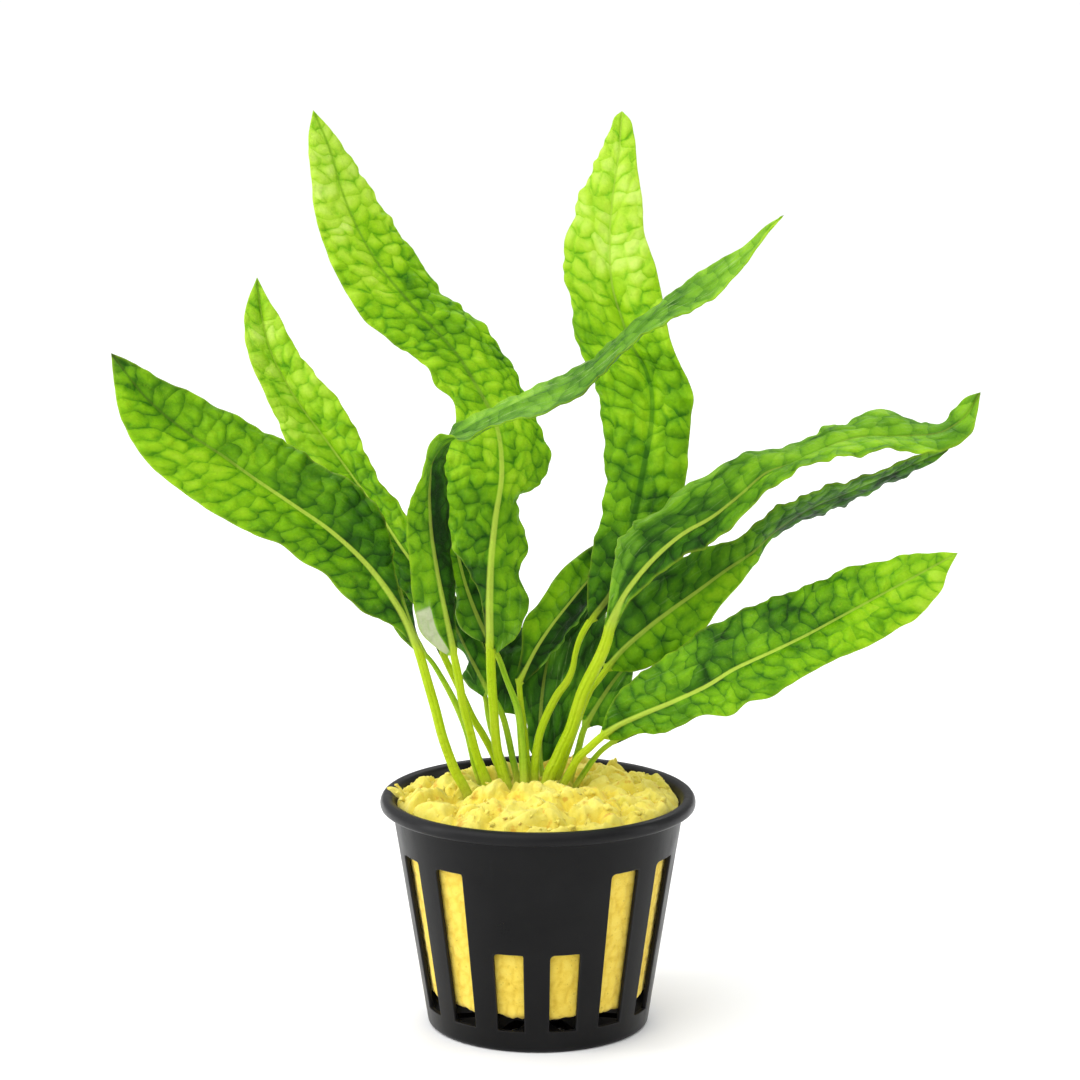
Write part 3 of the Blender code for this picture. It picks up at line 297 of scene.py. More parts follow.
        rib=[(614, 741, -2.4), (640, 724, -3.6), (672, 708, -5.0), (706, 694, -6.4),
             (738, 676, -7.6)],
        left=[(611, 737), (628, 706), (664, 690), (704, 678), (738, 676)],
        right=[(616, 744), (645, 731), (675, 718), (708, 706), (738, 676)],
        back_left=[(0, 0), (0.5, 3.5), (1, 0)],
        back_right=[(0, 0), (0.5, -1.0), (1, 0)],
        bulge=0.10),
}


# ================================================================ helpers
def place(u, v, depth):
    """The point of the front view (u, v) that lies depth mm behind the pot's axis, in mm."""
    a = math.radians(VIEW_TILT)
    ahead = Vector((0, math.cos(a), -math.sin(a)))
    up = Vector((0, math.sin(a), math.cos(a)))
    right = Vector((1, 0, 0))
    eye = Vector(VIEW_AIM) - ahead * VIEW_DISTANCE
    ray = ahead * VIEW_FOCAL + right * (u - VIEW_CENTRE) - up * (v - VIEW_CENTRE)
    return eye + ray * ((depth - eye.y) / ray.y)


def toward_eye(point):
    a = math.radians(VIEW_TILT)
    ahead = Vector((0, math.cos(a), -math.sin(a)))
    return (Vector(VIEW_AIM) - ahead * VIEW_DISTANCE - point).normalized()


def shares(points):
    """The share of the length at each point. A point's own third number, if it has one, holds."""
    run = [0.0]
    for a, b in zip(points, points[1:]):
        run.append(run[-1] + math.hypot(b[0] - a[0], b[1] - a[1]))
    known = [(0, 0.0)]
    for i, p in enumerate(points[1:-1], 1):
        if len(p) > 2:
            known.append((i, p[2]))
    known.append((len(points) - 1, 1.0))
    out = [0.0] * len(points)
    for (i, s), (j, e) in zip(known, known[1:]):
        for k in range(i, j + 1):
            out[k] = s + (e - s) * (run[k] - run[i]) / (run[j] - run[i])
    return out


def smooth(ts, rows, t):
    """A curve through rows at ts, with slopes from the neighbours."""
    n = len(ts)
    if t <= ts[0]:
        return list(rows[0])
    if t >= ts[-1]:
        return list(rows[-1])
    i = max(k for k in range(n - 1) if ts[k] <= t)
    h = ts[i + 1] - ts[i]

    def slope(k):
        if k == 0:
            return [(b - a) / (ts[1] - ts[0]) for a, b in zip(rows[0], rows[1])]
        if k == n - 1:
            return [(b - a) / (ts[-1] - ts[-2]) for a, b in zip(rows[-2], rows[-1])]
        h0, h1 = ts[k] - ts[k - 1], ts[k + 1] - ts[k]
        return [
            ((b - a) / h0 * h1 + (c - b) / h1 * h0) / (h0 + h1)
            for a, b, c in zip(rows[k - 1], rows[k], rows[k + 1])
        ]

    m0, m1 = slope(i), slope(i + 1)
    x = (t - ts[i]) / h
    return [
        a * (2 * x**3 - 3 * x * x + 1) + p * h * (x**3 - 2 * x * x + x)
        + b * (3 * x * x - 2 * x**3) + q * h * (x**3 - x * x)
        for a, b, p, q in zip(rows[i], rows[i + 1], m0, m1)
    ]


def leaf_curves(leaf):
    """Functions of the share t that give the rib and the two edges in space, in mm."""
    rib_t = shares([p[:2] for p in leaf["rib"]])

    def rib(t):
        return place(*smooth(rib_t, leaf["rib"], t))

    def edge(side):
        ts = shares(leaf[side])
        flat = [p[:2] for p in leaf[side]]
        back = leaf["back_" + side]
        bt = [b[0] for b in back]
        bv = [[b[1]] for b in back]

        def at(t):
            u, v = smooth(ts, flat, t)
            depth = smooth(rib_t, leaf["rib"], t)[2] + smooth(bt, bv, t)[0]
            return place(u, v, depth)

        return at

    return rib, edge("left"), edge("right")




# ================================================================ how each leaf looks
# tint and shade: (share, left half, right half) the tissue's own tint with painted light and shade, 0 deep shade
# green to 1 lime
# pale:  (share, left half, right half) how far the grey-green underside skin shows, which also sets the painted
# glints
# rib:   (share, value) 1 pale yellow-green, 0 dark: the rib's own colour, with painted shade where it lies sunken
# relief: height of the blisters in mm at base, middle and tip
# cell:  length and width of a blister in mm
# ruffle: height of the margin's waves in mm, and their length
DEFAULT_LOOK = dict(
    tone=[(0, 0.35, 0.35), (1, 0.6, 0.6)],
    pale=[(0, 0, 0), (1, 0, 0)],
    rib=[(0, 0.8), (0.5, 0.5), (1, 0.2)],
    relief=(0.25, 0.40, 0.22), cell=(2.9, 2.7), ruffle=(0.35, 7.0), margin=0.6, contrast=1.0,
)
LOOKS = {
    "leaf_far_left": dict(
        tone=[(0, 0.34, 0.26), (0.12, 0.34, 0.16), (0.3, 0.46, 0.24), (0.45, 0.58, 0.38),
              (0.62, 0.63, 0.47), (0.8, 0.62, 0.50), (0.93, 0.54, 0.44), (1, 0.24, 0.20)],
        pale=[(0, 0.0, 0.0), (0.08, 0.12, 0.1), (0.2, 0.05, 0.1), (0.9, 0.0, 0.05), (1, 0.3, 0.3)],
        rib=[(0, 0.95), (0.35, 0.95), (0.5, 0.85), (0.62, 0.35), (0.75, 0.1), (1, 0.1)],
        relief=(0.26, 0.44, 0.26), cell=(2.9, 2.7), margin=0.75,
        contrast=[(0, 0.8, 0.25), (0.25, 0.9, 0.25), (0.5, 0.9, 0.5), (1, 0.9, 0.8)]),
    "leaf_mid_left": dict(
        tone=[(0, 0.18, 0.20), (0.12, 0.20, 0.40), (0.3, 0.38, 0.56), (0.5, 0.66, 0.62), (0.65, 0.84, 0.76),
              (0.8, 0.92, 0.90), (1, 0.78, 0.74)],
        pale=[(0, 0.1, 0.0), (0.5, 0.05, 0.0), (1, 0.2, 0.15)],
        rib=[(0, 0.9), (0.12, 0.3), (0.2, 0.95), (0.38, 0.95), (0.6, 0.55), (1, 0.35)],
        relief=(0.20, 0.34, 0.20), cell=(2.8, 2.6), margin=0.6),
    "leaf_tall_left": dict(
        tone=[(0, 0.18, 0.48), (0.08, 0.20, 0.50), (0.14, 0.34, 0.50), (0.22, 0.50, 0.52), (0.32, 0.66, 0.60),
              (0.42, 0.62, 0.62), (0.55, 0.62, 0.58), (0.66, 0.66, 0.58), (0.8, 0.86, 0.80),
              (0.92, 0.94, 0.92), (1, 0.78, 0.74)],
        patches=[(1, 0.70, 1.0, 0.0, 0.05, 0.75, 0.45), (-1, 0.80, 1.0, 0.17, 0.30, 0.3, 0.66)],
        pale=[(0, 0.1, 0.15), (0.2, 0.05, 0.05), (0.8, 0.0, 0.0), (1, 0.2, 0.2)],
        rib=[(0, 0.95), (0.28, 0.95), (0.36, 0.6), (0.40, 0.3), (0.5, 0.1), (1, 0.18)],
        relief=(0.32, 0.46, 0.22), cell=(2.7, 2.6), margin=0.6,
        creases=[(1, 0.74, 0.26, 0.60, 1.0), (1, 0.45, 0.22, 0.40, 0.8), (-1, 0.62, 0.25, 0.45, 0.7),
                 (1, 0.86, 0.55, 0.74, 0.8)]),
    "leaf_crossing": dict(
        tone=[(0, 0.34, 0.25), (0.05, 0.40, 0.16), (0.12, 0.52, 0.10), (0.22, 0.58, 0.08),
              (0.30, 0.52, 0.12), (0.38, 0.46, 0.42), (0.5, 0.46, 0.46), (0.60, 0.40, 0.36),
              (0.72, 0.40, 0.38), (0.82, 0.54, 0.50), (0.92, 0.74, 0.68), (1, 0.78, 0.72)],
        patches=[(-1, 0.42, 1.0, 0.0, 0.085, 1.6, 0.95), (1, 0.5, 1.0, 0.40, 0.52, 0.8, 0.62)],
        pale=[(0, 0.1, 0.0), (0.28, 0.1, 0.0), (0.35, 0.45, 0.35), (0.55, 0.5, 0.45),
              (0.7, 0.35, 0.35), (0.85, 0.15, 0.2), (1, 0.1, 0.1)],
        rib=[(0, 0.9), (0.1, 0.75), (0.2, 0.5), (0.3, 0.4), (0.4, 0.3), (1, 0.3)],
        relief=(0.28, 0.07, 0.08), cell=(3.0, 2.6), ruffle=(0.2, 6.0), margin=0.5,
        contrast=[(0, 0.8, 0.1), (0.28, 0.8, 0.1), (0.36, 0.12, 0.12), (0.75, 0.15, 0.15), (1, 0.4, 0.4)],
        ribk=[(0, 1), (0.28, 1), (0.36, 0), (1, 0)],
        creases=[(-1, 0.55, 0.34, 0.8, 0.9), (1, 0.35, 0.36, 0.7, 0.7)]),
    "leaf_tall_right": dict(
        tone=[(0, 0.16, 0.14), (0.12, 0.30, 0.26), (0.22, 0.40, 0.34), (0.32, 0.54, 0.54),
              (0.42, 0.66, 0.60), (0.54, 0.62, 0.60), (0.64, 0.76, 0.74), (0.75, 0.93, 0.96),
              (0.9, 0.97, 0.97), (1, 0.94, 0.94)],
        ribk=[(0, 1.0), (0.2, 1.5), (0.5, 1.6), (0.62, 1.0), (1, 0.8)],
        pale=[(0, 0.1, 0.05), (0.2, 0.05, 0.1), (0.4, 0.0, 0.0), (0.9, 0.0, 0.0), (1, 0.1, 0.1)],
        rib=[(0, 0.5), (0.12, 0.05), (0.2, 0.0), (0.5, 0.0), (0.62, 0.35), (0.75, 0.5), (0.88, 0.42), (1, 0.6)],
        relief=(0.32, 0.46, 0.18), cell=(3.0, 3.05), margin=0.5,
        creases=[(-1, 0.80, 0.30, 0.80, 0.7), (1, 0.84, 0.45, 0.7, 0.5)]),
    "leaf_short_centre": dict(
        tone=[(0, 0.22, 0.10), (0.3, 0.40, 0.08), (0.6, 0.50, 0.08), (1, 0.30, 0.06)],
        contrast=[(0, 0.6, 0.2), (1, 0.9, 0.3)],
        patches=[(1, 0.80, 1.0, 0.12, 0.62, 0.8, 0.45)],
        pale=[(0, 0.0, 0.0), (0.3, 0.0, 0.15), (0.7, 0.0, 0.1), (1, 0.1, 0.1)],
        rib=[(0, 0.9), (0.5, 0.8), (1, 0.3)],
        relief=(0.22, 0.35, 0.2), cell=(2.9, 2.7), margin=0.5),
    "leaf_wrapped_right": dict(
        tone=[(0, 0.38, 0.26), (0.08, 0.34, 0.18), (0.2, 0.32, 0.20), (0.32, 0.40, 0.24), (0.42, 0.46, 0.32),
              (0.5, 0.48, 0.46), (0.65, 0.52, 0.56), (0.8, 0.52, 0.56), (0.9, 0.46, 0.50), (1, 0.55, 0.55)],
        patches=[(-1, 0.80, 1.0, 0.02, 0.44, 0.95, 0.60), (-1, 0.45, 0.80, 0.04, 0.20, 0.75, 0.52),
                 (1, 0.55, 1.0, 0.0, 0.09, 0.75, 0.50)],
        pale=[(0, 0.2, 0.10), (0.1, 0.25, 0.10), (0.25, 0.22, 0.10), (0.4, 0.25, 0.15), (0.55, 0.30, 0.2),
              (0.7, 0.30, 0.2), (0.85, 0.35, 0.3), (1, 0.45, 0.4)],
        rib=[(0, 0.9), (0.12, 0.95), (0.3, 0.85), (0.4, 0.6), (0.55, 0.3), (1, 0.3)],
        relief=(0.22, 0.22, 0.16), cell=(3.6, 2.6), ruffle=(0.4, 8.0), margin=0.6, contrast=0.5,
        creases=[(-1, 0.35, 0.05, 0.5, 0.9), (-1, 0.70, 0.02, 0.46, 1.3), (-1, 0.62, 0.5, 0.9, 0.7),
                 (1, 0.5, 0.3, 0.9, 0.6)]),
    "leaf_folded_right": dict(
        tone=[(0, 0.22, 0.36), (0.15, 0.22, 0.46), (0.28, 0.28, 0.54), (0.38, 0.32, 0.62),
              (0.5, 0.30, 0.44), (0.56, 0.30, 0.26), (0.75, 0.30, 0.20), (0.9, 0.28, 0.22), (1, 0.28, 0.24)],
        pale=[(0, 0.1, 0.0), (0.3, 0.2, 0.0), (0.45, 0.2, 0.1), (0.6, 0.15, 0.05), (1, 0.25, 0.15)],
        rib=[(0, 0.75), (0.3, 0.7), (0.45, 0.4), (0.6, 0.1), (1, 0.1)],
        relief=(0.16, 0.20, 0.14), cell=(3.0, 2.6), ruffle=(0.3, 6.0), margin=0.6, contrast=0.75),
    "leaf_low_right": dict(
        tone=[(0, 0.42, 0.44), (0.12, 0.42, 0.44), (0.3, 0.38, 0.46), (0.5, 0.36, 0.52),
              (0.7, 0.50, 0.60), (0.88, 0.60, 0.66), (1, 0.62, 0.64)],
        pale=[(0, 0.15, 0.1), (0.15, 0.2, 0.15), (0.4, 0.15, 0.05), (0.7, 0.05, 0.0), (1, 0.1, 0.1)],
        rib=[(0, 0.95), (0.45, 0.9), (0.65, 0.55), (0.8, 0.4), (1, 0.4)],
        relief=(0.25, 0.42, 0.26), cell=(2.8, 2.7), margin=0.6),
    "leaf_shaded_left": dict(
        tone=[(0, 0.16, 0.18), (0.15, 0.34, 0.18), (0.35, 0.54, 0.20), (0.6, 0.46, 0.20), (1, 0.30, 0.20)],
        pale=[(0, 0.2, 0.1), (0.5, 0.1, 0.0), (1, 0.1, 0.1)],
        rib=[(0, 0.35), (0.35, 0.6), (0.6, 0.7), (1, 0.3)],
        relief=(0.2, 0.3, 0.2), cell=(2.7, 2.5), margin=0.7),
    "leaf_behind_left": dict(tone=[(0, 0.20, 0.16), (1, 0.30, 0.25)], relief=(0.15, 0.25, 0.15)),
    "leaf_inner_left": dict(
        tone=[(0, 0.34, 0.22), (0.5, 0.28, 0.22), (1, 0.26, 0.20)], relief=(0.2, 0.3, 0.2), cell=(3.4, 2.0),
        contrast=0.7, pale=[(0, 0.1, 0), (0.3, 0.35, 0.1), (0.6, 0.1, 0), (1, 0, 0)],
        rib=[(0, 0.5), (0.5, 0.2), (1, 0.1)], creases=[(-1, 0.4, 0.1, 0.9, 1.0), (1, 0.5, 0.1, 0.9, 0.8)]),
    "leaf_inner_back": dict(tone=[(0, 0.18, 0.16), (1, 0.20, 0.18)], relief=(0.2, 0.3, 0.2)),
    "leaf_inner_centre": dict(
        tone=[(0, 0.30, 0.22), (0.2, 0.20, 0.26), (0.5, 0.14, 0.20), (1, 0.12, 0.12)],
        pale=[(0, 0.1, 0), (0.3, 0.15, 0.25), (0.55, 0.25, 0.45), (0.75, 0.1, 0.3), (1, 0, 0)],
        rib=[(0, 0.6), (0.3, 0.35), (0.6, 0.2), (1, 0.1)], relief=(0.25, 0.36, 0.3), cell=(5.2, 2.1),
        contrast=0.45, creases=[(-1, 0.35, 0.15, 0.9, 1.0), (-1, 0.70, 0.2, 0.7, 0.8), (1, 0.30, 0.1, 0.9, 1.0),
                                (1, 0.62, 0.12, 0.9, 1.0)]),
    "leaf_inner_right": dict(
        tone=[(0, 0.36, 0.36), (0.25, 0.30, 0.40), (0.5, 0.26, 0.24), (1, 0.18, 0.14)],
        pale=[(0, 0.1, 0.2), (0.5, 0.2, 0.35), (1, 0, 0)], rib=[(0, 0.6), (0.4, 0.3), (1, 0.1)],
        relief=(0.2, 0.3, 0.2), cell=(4.2, 2.2), contrast=0.55,
        creases=[(1, 0.45, 0.1, 0.9, 1.0), (-1, 0.5, 0.1, 0.9, 0.8)]),
    "leaf_under_right": dict(tone=[(0, 0.34, 0.30), (1, 0.25, 0.25)], relief=(0.2, 0.3, 0.2)),
}
GRID = 0.30  # mm between points on a large blade
# leaves in the plant's shade: they take the shaded copy of the tissue, with painted shade on their stalks
SHADED = {"leaf_shaded_left", "leaf_behind_left", "leaf_inner_left", "leaf_inner_back",
          "leaf_inner_centre", "leaf_inner_right", "leaf_under_right"}
SEED = 7


# ================================================================ noise and cells
_lattice = np.random.default_rng(SEED).random((256, 256))
_lattice3 = np.random.default_rng(SEED + 1).random((64, 64, 64))


def noise2(x, y, seed=0):
    """Smooth noise, 0 to 1, with a feature about one unit across."""
    x = np.asarray(x, float) + 17.31 * seed + 1000.0
    y = np.asarray(y, float) + 41.77 * seed + 1000.0
    i, j = np.floor(x).astype(int), np.floor(y).astype(int)
    fx, fy = x - i, y - j
    fx, fy = fx * fx * (3 - 2 * fx), fy * fy * (3 - 2 * fy)
    i0, i1, j0, j1 = i % 256, (i + 1) % 256, j % 256, (j + 1) % 256
    return ((_lattice[i0, j0] * (1 - fx) + _lattice[i1, j0] * fx) * (1 - fy)
            + (_lattice[i0, j1] * (1 - fx) + _lattice[i1, j1] * fx) * fy)


def noise3(p, scale, seed=0):
    p = np.asarray(p, float) / scale + 1000.0 + 13.7 * seed
    i = np.floor(p).astype(int)
    f = p - i
    f = f * f * (3 - 2 * f)
    a, b = i % 64, (i + 1) % 64
    out = 0.0
    for cx in (0, 1):
        wx = f[:, 0] if cx else 1 - f[:, 0]
        ix = b[:, 0] if cx else a[:, 0]
        for cy in (0, 1):
            wy = f[:, 1] if cy else 1 - f[:, 1]
            iy = b[:, 1] if cy else a[:, 1]
            for cz in (0, 1):
                wz = f[:, 2] if cz else 1 - f[:, 2]
                iz = b[:, 2] if cz else a[:, 2]
                out = out + wx * wy * wz * _lattice3[ix, iy, iz]
    return out


def ramp(x, a, b):
    x = np.clip((x - a) / (b - a), 0, 1)
    return x * x * (3 - 2 * x)


def cell_walls(points):
    """The distances to the nearest cell wall and to the cell's own middle at each 2-D point, the
    same as the Voronoi nodes of the leaf material give there, so that colour and relief meet."""
    mesh = bpy.data.meshes.new("cell_probe")
    mesh.vertices.add(len(points))
    flat = np.zeros((len(points), 3), np.float32)
    flat[:, :2] = points
    mesh.vertices.foreach_set("co", flat.ravel())
    ob = bpy.data.objects.new("cell_probe", mesh)
    bpy.context.scene.collection.objects.link(ob)
    tree = bpy.data.node_groups.new("cell_probe", "GeometryNodeTree")
    tree.interface.new_socket("Geometry", in_out="INPUT", socket_type="NodeSocketGeometry")
    tree.interface.new_socket("Geometry", in_out="OUTPUT", socket_type="NodeSocketGeometry")
    inp = tree.nodes.new("NodeGroupInput")
    out = tree.nodes.new("NodeGroupOutput")
    pos = tree.nodes.new("GeometryNodeInputPosition")
    last = inp.outputs[0]
    for key, feature in (("wall", "DISTANCE_TO_EDGE"), ("middle", "F1")):
        vor = tree.nodes.new("ShaderNodeTexVoronoi")
        vor.voronoi_dimensions = "2D"
        vor.feature = feature
        vor.inputs["Scale"].default_value = 1.0
        vor.inputs["Randomness"].default_value = CELL_RANDOM
        store = tree.nodes.new("GeometryNodeStoreNamedAttribute")
        store.data_type = "FLOAT"
        store.domain = "POINT"
        store.inputs["Name"].default_value = key
        tree.links.new(last, store.inputs["Geometry"])
        tree.links.new(pos.outputs[0], vor.inputs["Vector"])
        tree.links.new(vor.outputs["Distance"], store.inputs["Value"])
        last = store.outputs[0]
    tree.links.new(last, out.inputs[0])
    mod = ob.modifiers.new("probe", "NODES")
    mod.node_group = tree
    bpy.context.view_layer.update()
    done = ob.evaluated_get(bpy.context.evaluated_depsgraph_get())
    both = []
    for key in ("wall", "middle"):
        got = np.zeros(len(points), np.float32)
        done.data.attributes[key].data.foreach_get("value", got)
        both.append(got.astype(float))
    bpy.data.objects.remove(ob, do_unlink=True)
    bpy.data.meshes.remove(mesh)
    bpy.data.node_groups.remove(tree)
    return both


CELL_RANDOM = 0.84


# ================================================================ fine leaves
def table(rows, t, column):
    return np.interp(t, [r[0] for r in rows], [r[column] for r in rows])


def unit(v):
    return v / np.maximum(np.linalg.norm(v, axis=-1, keepdims=True), 1e-12)


def leaf_grid(index, name):
    """Everything about a leaf's rows, from the stalk's end in the medium to the tip."""
    leaf = LEAVES[name]
    look = dict(DEFAULT_LOOK, **LOOKS.get(name, {}))
    rib, left, right = leaf_curves(leaf)
    pts = leaf["stalk"]
    ts = shares([p[:2] for p in pts])
    base = place(*pts[0][:3])
    lean = (place(*pts[1][:3]) - base).normalized()
    centre, radius = [], []
    for drop in (STALK_DEPTH, 5.0, 2.5, 1.2):
        centre.append(base - Vector((lean.x * 0.25, lean.y * 0.25, 1.0)) * drop)
        radius.append(pts[0][3] / 2)
    steps = max(12, int((place(*pts[-1][:3]) - base).length / 0.6))
    for k in range(steps):
        u, v, depth, wide = smooth(ts, pts, k / steps)
        centre.append(place(u, v, depth))
        radius.append(wide / 2)
    n_stalk = len(centre)
    # blade
    fine = [rib(k / 60) for k in range(61)]
    length = sum((b - a).length for a, b in zip(fine, fine[1:]))
    steps = max(24, int(length / GRID))
    t = np.linspace(0, 0.994, steps + 1)
    m = np.array([rib(x)[:] for x in t])
    l = np.array([left(x)[:] for x in t])
    r = np.array([right(x)[:] for x in t])
    sm = np.array([c[:] for c in centre])
    middle = np.vstack([sm, m])
    along = np.gradient(middle, axis=0)
    k = np.ones(7) / 7
    pad = np.vstack([along[:1]] * 3 + [along] + [along[-1:]] * 3)
    along = unit(np.stack([np.convolve(pad[:, c], k, "valid") for c in range(3)], axis=1))
    a = math.radians(VIEW_TILT)
    ahead = np.array([0, math.cos(a), -math.sin(a)])
    eye = np.array(VIEW_AIM) - ahead * VIEW_DISTANCE
    to_eye = unit(eye - sm)
    al = along[:n_stalk]
    up = unit(to_eye - al * (to_eye * al).sum(1, keepdims=True))
    side = np.cross(al, up)
    rad = np.array(radius)[:, None]
    L = np.vstack([sm - side * rad, l])
    R = np.vstack([sm + side * rad, r])
    ab = along[n_stalk:]
    nl = np.vstack([up, unit(np.cross(m - l, ab))])
    nr = np.vstack([up, unit(np.cross(r - m, ab))])

    def blur(v, n):
        k = np.ones(2 * n + 1) / (2 * n + 1)
        p = np.vstack([v[:1]] * n + [v] + [v[-1:]] * n)
        return unit(np.stack([np.convolve(p[:, c], k, "valid") for c in range(3)], axis=1))

    nl, nr = blur(nl, 4), blur(nr, 4)
    share = np.concatenate([np.linspace(-1, 0, n_stalk, endpoint=False), t])
    start = pts[-1][3] / 2
    rib_r = np.concatenate([np.array(radius), start + (0.20 - start) * np.minimum(1, 1.1 * t) ** 0.55])
    run = np.concatenate([[0], np.cumsum(np.linalg.norm(np.diff(middle, axis=0), axis=1))])
    run = run - run[n_stalk]
    blade = ramp(run, 0.2, 4.0)
    return dict(index=index, name=name, leaf=leaf, look=look, m=middle, l=L, r=R, nl=nl, nr=nr,
                nm=unit(nl + nr), along=along, t=share, R=rib_r, run=run, blade=blade, length=length,
                tip=np.array(rib(1.0)[:]))


def leaf_points(g):
    """The blade's points before the blisters: positions, normals and leaf coordinates."""
    W = np.stack([np.linalg.norm(g["l"] - g["m"], axis=1), np.linalg.norm(g["r"] - g["m"], axis=1)])
    small = g["length"] < 35
    step = GRID * (1.25 if small else 1.0)
    half = int(np.clip(math.ceil(W.max() / step), 9, 30))
    x = np.linspace(-1, 1, 2 * half + 1)
    w = g["blade"][:, None]
    s = (1 - w) * np.sin(np.pi / 2 * x)[None, :] + w * (0.75 * x + 0.25 * np.sin(np.pi / 2 * x))[None, :]
    s[:, half] = 0
    q = np.abs(s)
    sd = (x > 0).astype(int)
    E = np.where(x[None, :, None] < 0, g["l"][:, None, :], g["r"][:, None, :])
    N = np.where(x[None, :, None] < 0, g["nl"][:, None, :], g["nr"][:, None, :])
    Wd = np.where(x[None, :] < 0, W[0][:, None], W[1][:, None])
    M = g["m"][:, None, :]
    out = unit(E - M)
    dome = g["leaf"]["bulge"]
    P = M + (E - M) * q[..., None] + N * (Wd * dome * 4 * q * (1 - q))[..., None]
    f = ramp(q * 1.0, 0.0, 0.45)[..., None]
    n = unit(g["nm"][:, None, :] * (1 - f) + N * f)
    # the dome tilts the surface; turn the normal with it
    slope = dome * 4 * (1 - 2 * q) * (g["blade"][:, None])
    n = unit(n - out * (slope * np.minimum(1, 4 * q))[..., None] * 0.8)
    b = s * Wd
    return dict(P=P, n=n, q=q, s=s, b=b, W=Wd, out=out, x=x, half=half)


def leaf_coordinates(g, p):
    """Where each point lies on the blister pattern, in cells."""
    la, lb = g["look"]["cell"]
    run = np.broadcast_to(g["run"][:, None], p["b"].shape)
    b = p["b"]
    seed = g["index"] + 1
    wa, wb = [sum(k * (noise2(run / z, b / z, seed + more + z) - 0.5)
                  for k, z in ((1.3, 4.4), (0.9, 2.1), (0.55, 1.1))) for more in (0, 60)]
    x = (run - 0.30 * np.abs(b) + 1.1 * wa) / la + 40.0 * seed
    y = (b + 1.0 * wb * np.minimum(1, np.abs(b) / 1.5)) / lb + 13.0
    return np.stack([x, y], axis=-1)


